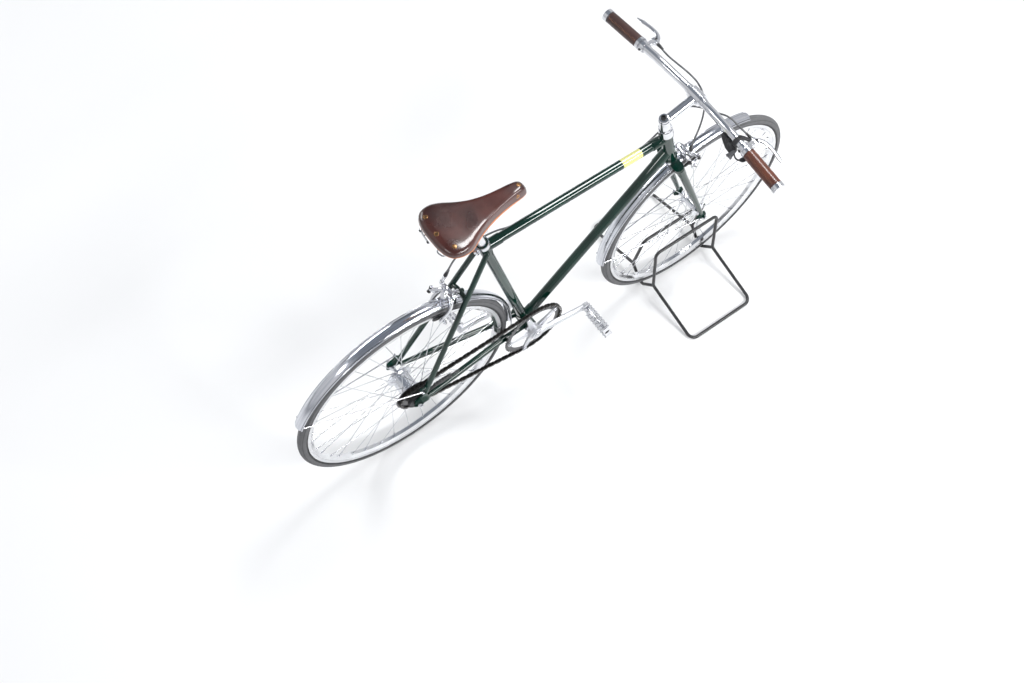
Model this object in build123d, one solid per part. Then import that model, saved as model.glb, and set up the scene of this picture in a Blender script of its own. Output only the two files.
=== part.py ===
from build123d import *
import math
import os

# City bicycle with its front wheel held in a wire floor stand.
# +X forward, +Y left, +Z up. The origin is on the ground, midway between the two axles.

# ---- driving dimensions (mm, degrees) ----
wheelbase = 1030.0
tyre_radius = 340.0
tyre_section = 28.0
fit = 0.05  # radial clearance of running fits
seat_gap = 0.3  # gap between faces that only rest on each other

# rims, spokes and hubs
rim_outer_radius = tyre_radius - 24.0
rim_inner_radius = rim_outer_radius - 19.0
rim_width = 23.0
rim_wall = 1.6
rim_well_depth = 7.0
rim_nose_width = 10.0
spoke_radius = 1.0
spoke_cross = 3
nipple_radius = 2.0
nipple_length = 11.0
front_spoke_count = 32
rear_spoke_count = 36
front_axle_radius = 4.5
rear_axle_radius = 5.0
front_hub_width = 100.0
rear_hub_width = 132.0
front_shell_radius = 12.0
front_flange_radius = 22.0
front_flange_y = 27.0
rear_shell_radius = 27.0
rear_flange_radius = 38.0
rear_flange_y = 29.0
flange_thickness = 3.0

# frame
chain_stay_reach = 407.0  # bottom bracket ahead of the rear axle
bb_drop = 50.0  # bottom bracket below the axles
bb_x = chain_stay_reach - wheelbase / 2
bb_z = tyre_radius - bb_drop
bb_shell_radius = 19.5
bb_shell_width = 68.0
seat_angle = 73.9
seat_tube_above = 29.73  # of seat tube above the top tube's line
post_bore_depth = 120.0
post_insertion = 110.0
seat_tube_radius = 14.3
top_tube_drop = 23.15  # below the head tube's top, along it
top_tube_radius = 13.0
down_tube_radius = 14.3
down_tube_rise = 46.0  # above the head tube's lower end, along it
chain_stay_radius = 9.0
chain_stay_tip_radius = 6.5
chain_stay_root_y = 22.0
chain_stay_bend = 120.0  # behind the bottom bracket
chain_stay_bend_radius = 500.0
chain_stay_bend_y = 30.0
seat_stay_radius = 7.5
seat_stay_top_y = 16.0
seat_stay_top_drop = 38.0  # below the top of the seat tube, along it
stay_tip_y = 62.0
dropout_thickness = 5.0
stay_tip_forward = 25.0  # stay ends ahead of the rear axle
chain_stay_tip_z = -8.0  # against the rear axle
seat_stay_tip_z = 26.0
bridge_clearance = 12.0  # brake bridge outside the mudguard, at the stays
bridge_radius = 6.5
bridge_arch = 6.0
bridge_boss_half = 9.0
lug_wall = 1.8
lug_length = 34.0

# steering
head_angle = 73.5
fork_rake = 46.0
crown_race = tyre_radius + 36.0  # along the steering axis from the foot of the axle's perpendicular
lower_stack = 12.0
head_tube_length = 140.0
head_tube_radius = 18.0
steerer_radius = 12.7
upper_stack = 26.0
locknut_height = 10.0
crown_height = 15.0
crown_half_width = 49.0
crown_margin = 3.0  # of crown round the blades
blade_root_y = 37.0
blade_root_radius = 11.5
blade_tip_radius = 5.8
blade_rake = fork_rake - 3.0  # blades lean straight forward by this
blade_tip_along = 16.0
blade_taper = 1.8
stem_reach = 101.0
stem_clamp_rise = 29.0
stem_top = crown_race + 230.0
stem_radius = 12.5
stem_post_radius = 14.5

# handlebar and controls
bar_radius = 11.1
bar_centre_radius = 12.7
bar_half_width = 335.0
bar_bend_y = bar_half_width - 197.0
bar_sweep = 11.0
bar_end_sweep = 22.5
bar_rise = 11.0
bar_end_rise = 5.0
grip_radius = 16.5
grip_length = 110.0
grip_start = 77.0  # along the bar's outer straight
lever_place = grip_start - 19.0
shifter_place = grip_start - 43.0
ring_length = 9.0
ring_radius = 17.5
lever_clamp_radius = 16.0
lever_clamp_width = 14.0
lever_pivot = 38.0  # ahead of the bar
lever_block = 22.0
lever_ahead = Vector(1, 0, -0.12).normalized()

# saddle and seat post
saddle_length = 276.0
saddle_nose_ahead = 151.3  # of the post's clamp
saddle_top_z = bb_z + 714.0
saddle_block = 104.0  # of leather depth that the outline is cut from
saddle_half_width = 80.0
saddle_wall = 4.0
saddle_tail_lip = 5.0
rail_radius = 3.5
rail_z = saddle_top_z - 58.0
rail_clamp_drop = 14.0
rail_y = 22.0
seat_post_radius = 13.6
collar_height = 16.0
collar_radius = 18.5

# mudguards
guard_radius = tyre_radius + 17.0
guard_half_width = 15.5
guard_sag = 7.0
guard_wall = 1.4
guard_bead = 1.5
rear_guard_start = -3.0
rear_guard_end = 157.0
front_guard_start = 68.0
front_guard_end = 181.0
stay_wire_radius = 2.0
rear_eyelet = (14.0, 46.0)  # against the rear axle, behind the seat stay
eyelet_boss_y = (57.0, 64.0)
front_eyelet = (-19.0, 7.0)  # against the front axle

# brakes
caliper_depth = 18.0
caliper_arch = 26.5  # half the opening between its arms
caliper_hub_radius = 8.5
barrel_y = 31.0
barrel_ahead = 13.0
barrel_rise = 18.0
barrel_length = 24.0
barrel_radius = 4.2
pad_gap = 1.5
pad_carrier_y = 19.0
brake_track_drop = 6.0

# drive
chain_line = 45.0
chain_pitch = 12.7
chainring_teeth = 48
sprocket_teeth = 22
chain_half_height = 4.3
chain_half_width = 3.6
chain_groove_half_width = 1.5
chain_groove_rise = 2.3
tooth_half_thickness = 1.1
tooth_rise = 1.9
tooth_root_drop = 3.9
crank_length = 170.0
crank_angle = -2.0
bb_axle_radius = 8.5
q_factor = 156.0
pedal_length = 92.0
pedal_width = 66.0
pedal_axle_radius = 4.5
pedal_tilt = 108.0  # of the cage from forward towards up, at rest
cage_half_height = 8.0

# cables
cable_radius = 2.5
cable_gap = 0.8  # between a ferrule and the face it meets, which is a little turned from it
ferrule_radius = 3.9
ferrule_length = 15.0
arc_share = 0.45
guide_radius = 4.3
guide_length = 12.0
guide_angle = 30.0  # below the top tube's left
guide_places = (0.18, 0.48, 0.78)  # along the top tube from its front
guided_run = (0.12, 0.84)  # where the cable lies along the top tube
gear_joint_radius = 27.0
gear_joint_inset = 3.0  # inside the dropout
gear_joint_width = 10.0

# floor stand
stand_wire_radius = 5.0
stand_length = 246.0
stand_offset = -15.0
stand_half_track = 253.0
stand_waist_y = 50.6
stand_waist_z = 60.0
stand_top_y = 28.5
stand_top_z = tyre_radius - 122.0
stand_corner = 24.0
stand_waist_bend = 12.0
stand_top_corner = 18.0
cradle_gap = 0.4

# ---- derived places ----
rear_axle = Vector(-wheelbase / 2, 0, tyre_radius)
front_axle = Vector(wheelbase / 2, 0, tyre_radius)
bb = Vector(bb_x, 0, bb_z)
axis_up = Vector(-math.cos(math.radians(head_angle)), 0, math.sin(math.radians(head_angle)))
axis_out = Vector(math.sin(math.radians(head_angle)), 0, math.cos(math.radians(head_angle)))
axis_foot = front_axle - axis_out * fork_rake
seat_up = Vector(-math.cos(math.radians(seat_angle)), 0, math.sin(math.radians(seat_angle)))
head_bottom = crown_race + lower_stack
head_top = head_bottom + head_tube_length
top_tube_z = (axis_foot + axis_up * (head_top - top_tube_drop)).Z
down_tube_top = head_bottom + down_tube_rise
seat_tube_length = (top_tube_z - bb_z) / seat_up.Z + seat_tube_above
clamp_along = (rail_z - rail_clamp_drop - bb_z) / seat_up.Z
saddle_nose_x = (bb + seat_up * clamp_along).X + saddle_nose_ahead
bridge_reach = guard_radius + bridge_clearance
cup_top = head_top + upper_stack
locknut_top = cup_top + seat_gap + locknut_height
tyre_minor = tyre_section / 2
tyre_major = tyre_radius - tyre_minor
sides = {"left": 1, "right": -1}


def steer(along, out=0.0, y=0.0):
    """A point by its distance along the steering axis, ahead of it and to the left."""
    return axis_foot + axis_up * along + axis_out * out + Vector(0, y, 0)


def seat_line(along, y=0.0):
    return bb + seat_up * along + Vector(0, y, 0)


def on_wheel(axle, radius, angle, y=0.0):
    """A point about an axle, by its angle from forward towards up."""
    turn = math.radians(angle)
    return axle + Vector(radius * math.cos(turn), y, radius * math.sin(turn))


def rod(start, end, radius, end_radius=None):
    """A straight round bar, tapered if two radii are given."""
    along = end - start
    plane = Plane(origin=start, z_dir=along)
    if end_radius is None or end_radius == radius:
        return extrude(plane * Circle(radius), along.length)
    return loft([plane * Circle(radius), Plane(origin=end, z_dir=along) * Circle(end_radius)])


def bent_rod(points, radii, radius):
    """A round bar along straight runs joined by arcs."""
    path = FilletPolyline(*points, radius=radii)
    return sweep(Plane(origin=path @ 0, z_dir=path % 0) * Circle(radius), path=path)


def ring(centre, along, length, outer, inner):
    """A washer-shaped solid, from its centre point half each way along an axis."""
    plane = Plane(origin=centre, z_dir=along)
    return extrude(plane * (Circle(outer) - Circle(inner)), length / 2, both=True)


def axle_turned(axle, profile, arc=360.0):
    """Revolves a face drawn as (radius, y) about an axle across the bicycle."""
    return Location(axle) * revolve(profile, Axis.Y, arc)


def polygon(points):
    return make_face(Polyline(*points, close=True))


def solid_of(shapes):
    """Fuses a list of overlapping shapes into one."""
    fused = shapes[0]
    for shape in shapes[1:]:
        fused = fused + shape
    return fused


# ---- wheels ----
def tyre(axle):
    neck_half = rim_width / 2 - rim_wall - 0.1
    neck_root = rim_outer_radius - rim_well_depth + 0.1
    neck = Pos((neck_root + tyre_major) / 2, 0) * Rectangle(tyre_major - neck_root, 2 * neck_half)
    section = Pos(tyre_major, 0) * Circle(tyre_minor) + neck
    return axle_turned(axle, section)


def rim(axle):
    half = rim_width / 2
    well = rim_outer_radius - rim_well_depth
    flank = rim_inner_radius + 9.0
    nose = rim_nose_width / 2
    profile = polygon([
        (rim_outer_radius, half), (rim_outer_radius, half - rim_wall), (well, half - rim_wall),
        (well, rim_wall - half), (rim_outer_radius, rim_wall - half), (rim_outer_radius, -half),
        (flank, -half), (rim_inner_radius, -nose), (rim_inner_radius, nose), (flank, half),
    ])
    return axle_turned(axle, profile)


def spokes(axle, count, flange_radius, flange_y):
    """Crossed spokes with their nipples, trimmed to the rim and to the flanges' edges."""
    wires = []
    hole_radius = flange_radius - 3.5
    for index in range(count):
        side = 1 if index % 2 == 0 else -1
        lead = 1 if (index // 2) % 2 == 0 else -1
        rim_angle = 360.0 / count * index
        hub_angle = rim_angle + lead * (spoke_cross * 720.0 / count - 180.0 / count)
        face = side * (flange_y + lead * (flange_thickness / 2 + spoke_radius + 0.4))
        start = on_wheel(axle, hole_radius, hub_angle, face)
        end = on_wheel(axle, rim_inner_radius + 4.0, rim_angle, side * 1.5)
        along = (end - start).normalized()
        wires.append(rod(start, end, spoke_radius) + rod(end - along * (nipple_length + 4.0), end, nipple_radius))
    keep = ring(axle, Vector(0, 1, 0), 2 * rear_hub_width, rim_inner_radius - 0.1, flange_radius + 0.3)
    return Compound(children=[(wire & keep).solids()[0] for wire in wires])


def hub(axle, shell_radius, flange_radius, flange_y, half_length, axle_radius):
    """A hub shell with two spoke flanges and a bore that runs on its axle."""
    bore = axle_radius + fit
    thick = flange_thickness / 2
    neck = shell_radius * 0.72
    half = polygon([
        (bore, 0), (shell_radius, 0), (shell_radius, flange_y - thick - 4), (shell_radius + 3, flange_y - thick),
        (flange_radius, flange_y - thick), (flange_radius, flange_y + thick),
        (shell_radius + 2, flange_y + thick), (neck, flange_y + thick + 5), (neck, half_length), (bore, half_length),
    ])
    return axle_turned(axle, half + mirror(half, Plane.XZ))


def axle_set(axle, radius, hub_width, plate, stub, nut_radius):
    """A fixed axle with a cone inside each dropout and a domed nut outside it."""
    half = hub_width / 2
    across = Vector(0, 1, 0)
    body = rod(axle - across * (half + plate + stub), axle + across * (half + plate + stub), radius)
    for side in sides.values():
        cone = ring(axle + across * side * (half - 3), across, 6, radius + 4.5, radius)
        outer = half + plate
        nut = extrude(Plane(origin=axle + across * side * outer, z_dir=across * side)
                      * RegularPolygon(nut_radius, 6), stub - 3)
        body = body + cone + nut
    return body


# ---- frame ----
def head_tube():
    tube = ring(steer((head_bottom + head_top) / 2), axis_up, head_tube_length, head_tube_radius, 15.6)
    lip = 9.0
    for along in (head_bottom + lip / 2, head_top - lip / 2):
        tube = tube + ring(steer(along), axis_up, lip, head_tube_radius + lug_wall, 15.6)
    sockets = [rod(top_tube_front(), top_tube_front() - Vector(head_tube_radius + lug_length, 0, 0),
                   top_tube_radius + lug_wall),
               rod(steer(down_tube_top), steer(down_tube_top) - down_tube_way() * (head_tube_radius + lug_length),
                   down_tube_radius + lug_wall)]
    for socket in sockets:
        tube = tube + socket
    bore = rod(steer(head_bottom - 5), steer(head_top + 5), 15.6)
    return tube - bore - top_tube_rod() - down_tube_rod()


def top_tube_front():
    along = (top_tube_z - axis_foot.Z) / axis_up.Z
    return steer(along)


def top_tube_rod():
    rear = seat_line((top_tube_z - bb_z) / seat_up.Z)
    return rod(rear, top_tube_front(), top_tube_radius) - rod(steer(head_bottom), steer(head_top), head_tube_radius)


def down_tube_way():
    return (steer(down_tube_top) - bb).normalized()


def down_tube_rod():
    return rod(bb, steer(down_tube_top), down_tube_radius) - rod(
        steer(head_bottom), steer(head_top), head_tube_radius)


def seat_tube():
    """The seat tube with its lug round the top tube and its slotted ears at the back."""
    tube = rod(bb, seat_line(seat_tube_length), seat_tube_radius)
    joint = seat_line((top_tube_z - bb_z) / seat_up.Z)
    lug = rod(joint, joint + Vector(seat_tube_radius + lug_length, 0, 0), top_tube_radius + lug_wall)
    lug = lug + rod(seat_line(seat_tube_length - 62), seat_line(seat_tube_length), seat_tube_radius + lug_wall)
    bore = rod(seat_line(seat_tube_length - post_bore_depth), seat_line(seat_tube_length + 1), seat_post_radius + fit)
    return tube + (lug - top_tube_rod()) - bore - bb_core()


def bb_core():
    return rod(bb - Vector(0, bb_shell_width / 2, 0), bb + Vector(0, bb_shell_width / 2, 0), bb_shell_radius)


def bottom_bracket_shell():
    """The shell with its short lug sockets for the seat and down tubes."""
    inner = bb_shell_radius - 3.0
    shell = bb_core()
    shell = shell + rod(bb, bb + down_tube_way() * (bb_shell_radius + 22), down_tube_radius + lug_wall)
    shell = shell + rod(bb, bb + seat_up * (bb_shell_radius + 22), seat_tube_radius + lug_wall)
    shell = shell - seat_tube_outer() - down_tube_outer()
    return shell - rod(bb - Vector(0, bb_shell_width, 0), bb + Vector(0, bb_shell_width, 0), inner)


def seat_tube_outer():
    return rod(bb, seat_line(seat_tube_length), seat_tube_radius) - bb_core()


def down_tube_outer():
    return rod(bb, steer(down_tube_top), down_tube_radius) - bb_core() - seat_tube_outer()


def down_tube():
    return down_tube_rod() - bb_core() - seat_tube_outer()


def top_tube():
    """The top tube with the brake cable's guides on its left."""
    tube = top_tube_rod()
    for share in guide_places:
        guide = guide_line(share)
        tube = tube + ring(guide, Vector(1, 0, 0), guide_length, guide_radius, cable_radius + fit)
    return tube - rod(bb, seat_line(seat_tube_length), seat_tube_radius)


def dropout(side):
    """The rear end: a plate with its axle slot and an eyelet, outside the hub's faces."""
    inner = rear_hub_width / 2
    outline = [(stay_tip_forward + 6, -16), (stay_tip_forward + 8, 4), (stay_tip_forward - 2, 36), (8, 30),
               (-13, 20), (-16, -6), (-8, -15)]
    plate = extrude(Plane.XZ * polygon(outline), dropout_thickness)
    slot = Plane.XZ * Pos(0, 0) * Circle(rear_axle_radius + fit)
    slot = slot + Plane.XZ * Pos(-15, 0) * Rectangle(30, 2 * (rear_axle_radius + fit))
    plate = plate - extrude(slot, 2 * dropout_thickness, both=True)
    y = inner + dropout_thickness if side > 0 else -inner
    return Location(rear_axle + Vector(0, y, 0)) * plate


def chain_stay_line(side):
    """The stay's root, bend and tip."""
    root = Vector(bb_x - 8, side * chain_stay_root_y, bb_z)
    tip = rear_axle + Vector(stay_tip_forward, side * stay_tip_y, chain_stay_tip_z)
    bend = Vector(bb_x - chain_stay_bend, side * chain_stay_bend_y,
                  bb_z + (tip.Z - bb_z) * chain_stay_bend / (bb_x - tip.X))
    return root, bend, tip


def chain_stay_neck(side):
    """Where the stay begins to taper."""
    _, bend, tip = chain_stay_line(side)
    return bend + (tip - bend) * 0.62


def chain_stay(side):
    root, bend, tip = chain_stay_line(side)
    neck = chain_stay_neck(side)
    stay = bent_rod([root, bend, neck], chain_stay_bend_radius, chain_stay_radius)
    stay = stay + rod(neck, tip, chain_stay_radius, chain_stay_tip_radius)
    return stay + dropout(side) - bb_core()


def seat_stay_rod(side):
    top = seat_line(seat_tube_length - seat_stay_top_drop, side * seat_stay_top_y) + Vector(-4, 0, 0)
    tip = rear_axle + Vector(stay_tip_forward, side * stay_tip_y, seat_stay_tip_z)
    return top, tip


def seat_stay(side):
    top, tip = seat_stay_rod(side)
    stay = rod(top, tip, seat_stay_radius) + Location(top) * Sphere(seat_stay_radius)
    core = rod(bb, seat_line(seat_tube_length), seat_tube_radius + lug_wall)
    stay = stay - core - dropout(side)
    boss = rear_axle + Vector(rear_eyelet[0], side * eyelet_boss_y[0], rear_eyelet[1])
    face = boss + Vector(0, side * (eyelet_boss_y[1] - eyelet_boss_y[0]), 0)
    foot = tip + (top - tip) * ((boss.Z - tip.Z) / (top.Z - tip.Z))
    middle = (boss + face) * 0.5
    stay = stay + rod(boss, face, 5.0) + rod(middle, foot, 3.0)
    return stay.solids().sort_by(SortBy.VOLUME)[-1]


def bridge_place(side):
    """Where the brake bridge meets a seat stay."""
    top, tip = seat_stay_rod(side)
    low, high = 0.0, 1.0
    for _ in range(40):
        middle = (low + high) / 2
        point = top + (tip - top) * middle
        if Vector(point.X - rear_axle.X, 0, point.Z - rear_axle.Z).length > bridge_reach:
            low = middle
        else:
            high = middle
    return point


def bridge_middle():
    """The middle of the arched brake bridge, which carries the brake's bolt."""
    middle = (bridge_place(1) + bridge_place(-1)) * 0.5
    return middle + (middle - rear_axle).normalized() * bridge_arch


def brake_bridge():
    left = bridge_place(1)
    right = bridge_place(-1)
    middle = bridge_middle()
    arch = bent_rod([left, middle + Vector(0, 12, 0), middle - Vector(0, 12, 0), right], 12, bridge_radius)
    _, _, along = rear_brake_seat()
    boss = rod(middle - along * bridge_boss_half, middle + along * bridge_boss_half, 7.5)
    for side in sides.values():
        top, tip = seat_stay_rod(side)
        arch = arch - rod(top, tip, seat_stay_radius)
    return arch.solids().sort_by(SortBy.VOLUME)[-1] + boss


def fork_crown():
    """The crown with its two blade sockets, and the steerer that turns in the headset."""
    low = crown_race - crown_height
    mid = (crown_race + low) / 2
    plane = Plane(origin=steer(low), x_dir=Vector(0, 1, 0), z_dir=axis_up)
    body = extrude(plane * SlotOverall(2 * crown_half_width, 2 * (blade_root_radius + crown_margin)), crown_height)
    for side in sides.values():
        body = body + rod(blade_line(side, mid)[0], blade_line(side, low - 22)[0], blade_root_radius + 1.6)
    body = body - guard_envelope()
    body = body + rod(steer(mid), steer(locknut_top), steerer_radius)
    for side in sides.values():
        body = body - rod(blade_line(side, crown_race - 4)[0], blade_line(side, low - 40)[0], blade_root_radius + fit)
    return body


def guard_envelope():
    """Clearance round the front mudguard where it passes under the crown."""
    return axle_turned(front_axle, Pos(guard_radius - 20, 0) * Rectangle(41, 2 * guard_half_width + 4))


def blade_line(side, along):
    """The middle of a fork blade, by its distance along the steering axis, and its share of the way down."""
    drop = crown_race - 4.0
    share = (drop - along) / (drop - blade_tip_along)
    tip_y = front_hub_width / 2 + 3.0
    return steer(along, blade_rake * share, side * (blade_root_y + (tip_y - blade_root_y) * share)), share


def fork_blade(side):
    """A straight blade that leans forward and tapers faster near its dropout."""
    drop = crown_race - 4.0
    sections = []
    steps = 6
    way = (blade_line(side, blade_tip_along)[0] - blade_line(side, drop)[0]).normalized()
    for index in range(steps + 1):
        place, share = blade_line(side, drop + (blade_tip_along - drop) * index / steps)
        radius = blade_root_radius + (blade_tip_radius - blade_root_radius) * share ** blade_taper
        sections.append(Plane(origin=place, x_dir=Vector(0, 1, 0), z_dir=way) * Circle(radius))
    blade = loft(sections)
    inner = front_hub_width / 2
    outline = [(-9, -9), (9, -9), (11, 4), (2, 24), (-12, 22), (-24, 12), (-24, 2), (-14, -3)]
    plate = extrude(Plane.XZ * polygon(outline), dropout_thickness)
    slot = extrude(Plane.XZ * (Circle(front_axle_radius + fit) + Pos(0, -10) * Rectangle(
        2 * (front_axle_radius + fit), 20)), 2 * dropout_thickness, both=True)
    y = inner + dropout_thickness if side > 0 else -inner
    plate = Location(front_axle + Vector(0, y, 0)) * (plate - slot)
    gap = ring(front_axle, Vector(0, 1, 0), 2 * inner, 24, 0.01)
    return blade - gap + plate


def headset_cups():
    """Pressed cups in the head tube's ends, with a running fit on the steerer."""
    bore = steerer_radius + fit
    lower = ring(steer(crown_race + (lower_stack + seat_gap) / 2), axis_up, lower_stack - seat_gap, 20.5, bore)
    upper_low = Plane(origin=steer(head_top), z_dir=axis_up) * Circle(20.5)
    upper_high = Plane(origin=steer(cup_top), z_dir=axis_up) * Circle(18.0)
    upper = loft([upper_low, upper_high]) - rod(steer(head_top - 1), steer(cup_top + 1), bore)
    return Compound(children=[lower, upper])


def headset_locknut():
    low = cup_top + seat_gap
    plane = Plane(origin=steer(low), z_dir=axis_up)
    return extrude(plane * (RegularPolygon(18.0, 8) - Circle(steerer_radius + fit)), locknut_height)


def bar_centre():
    return steer(stem_top - 14, 0) + Vector(stem_reach, 0, 0) + Vector(0, 0, stem_clamp_rise)


def stem():
    """A quill stem: post, forward extension and bar clamp."""
    post = rod(steer(locknut_top), steer(stem_top - 6), 16.5, stem_post_radius)
    cap = rod(steer(stem_top - 6), steer(stem_top), stem_post_radius - 1.0)
    arm = rod(steer(stem_top - 16), bar_centre(), stem_radius)
    clamp = ring(bar_centre(), Vector(0, 1, 0), 40, bar_centre_radius + 5.0, bar_centre_radius + fit)
    bore = rod(bar_centre() - Vector(0, 40, 0), bar_centre() + Vector(0, 40, 0), bar_centre_radius + fit)
    ear = rod(bar_centre() + Vector(4, -9, -19), bar_centre() + Vector(4, 9, -19), 6.0)
    return post + cap + arm - bore + clamp + (ear - bore)


def bar_points(side):
    """The bar's bend and its end on one side."""
    bend = bar_centre() + Vector(-bar_sweep, side * bar_bend_y, bar_rise)
    end = bar_centre() + Vector(-bar_end_sweep, side * bar_half_width, bar_end_rise)
    return bend, end


def on_bar(side, along):
    """A point on the bar's outer straight, from its bend outwards."""
    bend, end = bar_points(side)
    way = (end - bend).normalized()
    return bend + way * along, way


def handlebar():
    centre = bar_centre()
    left_bend, left_end = bar_points(1)
    right_bend, right_end = bar_points(-1)
    inner = Vector(0, 45, 0)
    path = [right_end, right_bend, centre - inner, centre + inner, left_bend, left_end]
    bar = bent_rod(path, 220, bar_radius)
    sleeve = rod(centre - Vector(0, 32, 0), centre + Vector(0, 32, 0), bar_centre_radius)
    return bar + sleeve


def grip(side):
    start, way = on_bar(side, grip_start)
    end, _ = on_bar(side, grip_start + grip_length)
    return rod(start, end, grip_radius) - rod(start - way, end + way, bar_radius + fit)


def grip_rings():
    """Polished collars at both ends of each grip; the outer ones close the bar's ends."""
    rings = []
    for side in sides.values():
        inner_place, way = on_bar(side, grip_start - ring_length / 2)
        rings.append(ring(inner_place, way, ring_length, ring_radius, bar_radius + fit))
        start, _ = on_bar(side, grip_start + grip_length)
        bend, end = bar_points(side)
        cap = rod(start, end + way * 3, ring_radius) - rod(start - way, end, bar_radius + fit)
        rings.append(cap)
    return Compound(children=rings)


def brake_lever(side):
    """A clamp on the bar, the perch ahead of it and the curved blade."""
    place, way = on_bar(side, lever_place)
    clamp = ring(place, way, lever_clamp_width, lever_clamp_radius, bar_radius + fit)
    perch = rod(place + lever_ahead * 14, place + lever_ahead * (lever_pivot + 2), 7.0)
    pivot = place + lever_ahead * lever_pivot
    block = Location(pivot) * Box(16, lever_block, 12)
    z = pivot.Z
    tip_y = side * 88
    blade_points = [(pivot.X - 6, pivot.Y - side * 6), (pivot.X + 12, pivot.Y - side * 6),
                    (pivot.X + 25, pivot.Y + side * 30), (pivot.X + 19, pivot.Y + tip_y),
                    (pivot.X + 11, pivot.Y + tip_y), (pivot.X + 15, pivot.Y + side * 30),
                    (pivot.X, pivot.Y + side * 8)]
    blade = Pos(0, 0, z) * extrude(polygon(blade_points), 4, both=True)
    bore = rod(place - way * 30, place + way * 30, bar_radius + fit)
    return clamp + (perch - bore) + block + blade


def gear_shifter():
    """The thumb shifter behind the right of the bar, with its clamp, dial and paddle."""
    place, way = on_bar(-1, shifter_place)
    clamp = ring(place, way, 10, 15.5, bar_radius + fit)
    back = Vector(-1, 0, -0.25).normalized()
    body_start = place + back * 24 - way * 42
    body_end = place + back * 24 + way * 9
    body = rod(body_start, body_end, 9.5, 13.0)
    link = rod(place + back * 12, place + back * 24, 6.0)
    knob = rod(body_end + back * 6 - way * 4, body_end + back * 26 - way * 4, 6.0, 9.5)
    paddle = bent_rod([body_end - back * 2, body_end + way * 14 + back * 4, body_end + way * 44 + back * 8], 9, 4.0)
    bore = rod(place - way * 60, place + way * 60, bar_radius + fit)
    return clamp + (body + link + knob + paddle - bore)


# ---- saddle ----
def saddle_plan():
    """The saddle's outline from above."""
    nose = saddle_nose_x
    rear = saddle_nose_x - saddle_length
    half = [(nose, 17.5, 13), (nose - 100, 22, 90), (nose - 172, 52, 60), (rear + 46, saddle_half_width, 26),
            (rear + saddle_tail_lip, saddle_half_width - 18, 14)]
    points = [(x, y) for x, y, _ in half] + [(x, -y) for x, y, _ in half[::-1]]
    face = polygon(points)
    for x, y, radius in half:
        corners = [v for v in face.vertices() if abs(v.X - x) < 0.01 and abs(abs(v.Y) - y) < 0.01]
        face = fillet(corners, radius)
    return face


def saddle_side(drop):
    """The saddle's outline from the side, drawn downwards by a drop."""
    top = saddle_top_z - drop
    nose = saddle_nose_x + 5
    rear = saddle_nose_x - saddle_length - 5
    at = [nose - share * (nose - rear) for share in (0.091, 0.385, 0.7, 0.93)]
    line = Spline((nose, top - 14), (at[0], top - 3), (at[1], top - 12), (at[2], top - 5), (at[3], top + 5),
                  (rear, top + 1))
    low = Polyline((rear, top + 1), (rear, top - 25 + drop), (rear + 60, top - 38 + drop),
                   (at[1] - 10, top - 44 + drop), (nose, top - 37 + drop), (nose, top - 14))
    return make_face(line + low)


def saddle_cover():
    """The leather cover: a domed top with skirts, open below."""
    plan = Pos(0, 0, saddle_top_z - saddle_block) * saddle_plan()
    inner_plan = offset(plan, -saddle_wall)
    tall = saddle_block + 36
    across = 2 * saddle_half_width
    outer = extrude(plan, tall) & extrude(Plane.XZ * saddle_side(0), across, both=True)
    inner = extrude(inner_plan, tall)
    under = extrude(Plane.XZ * saddle_side(saddle_wall + 1), across, both=True)
    below = extrude(inner_plan, saddle_block - 30)
    return outer - (inner & under) - below


def saddle_rails():
    """The steel rails with the nose fitting and the cantle plate inside the cover's ends."""
    nose = saddle_nose_x - saddle_wall - seat_gap
    rear = saddle_nose_x - saddle_length + saddle_tail_lip + saddle_wall + seat_gap
    clamp_x = seat_line(clamp_along).X
    pieces = []
    for side in sides.values():
        pieces.append(bent_rod([
            Vector(nose - 14, side * 4, rail_z + 32), Vector(nose - 60, side * 10, rail_z + 8),
            Vector(clamp_x + 34, side * rail_y, rail_z), Vector(clamp_x - 32, side * rail_y, rail_z),
            Vector(rear + 4, side * 44, rail_z + 36)], [20, 20, 40], rail_radius))
    bolt = Pos(nose - 12, 0, rail_z + 32) * Box(24, 9, 10)
    plate = Pos(rear + 4, 0, rail_z + 38) * Box(8, 2 * (saddle_half_width - 28), 14)
    return solid_of(pieces + [bolt, plate])


def seat_post():
    """The post with its saddle clamp."""
    head = seat_line(clamp_along)
    post = rod(seat_line(seat_tube_length - post_insertion), head, seat_post_radius)
    clamp_low = Pos(head.X, 0, rail_z - 9) * Box(44, 2 * rail_y + 16, 12)
    clamp_high = Pos(head.X, 0, rail_z + 8) * Box(36, 2 * rail_y + 14, 8)
    bolt = Pos(head.X, 0, rail_z) * Cylinder(5, 24)
    clamp = clamp_low + clamp_high + bolt
    for side in sides.values():
        y = side * rail_y
        clamp = clamp - rod(Vector(head.X - 60, y, rail_z), Vector(head.X + 60, y, rail_z), rail_radius + fit)
    return post + clamp


def seat_collar():
    low = seat_tube_length - collar_height
    inner = seat_tube_radius + lug_wall + fit
    collar = ring(seat_line(low + collar_height / 2), seat_up, collar_height, collar_radius, inner)
    back = Vector(-seat_up.Z, 0, seat_up.X)
    middle = seat_line(low + collar_height / 2) + back * (collar_radius + 5)
    ear = Location(Plane(origin=middle, x_dir=back, z_dir=seat_up)) * Box(14, 16, collar_height - 4)
    bolt = rod(middle - Vector(0, 12, 0), middle + Vector(0, 12, 0), 3.5)
    return collar + (ear + bolt - rod(seat_line(low - 5), seat_line(low + 40), inner))


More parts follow.
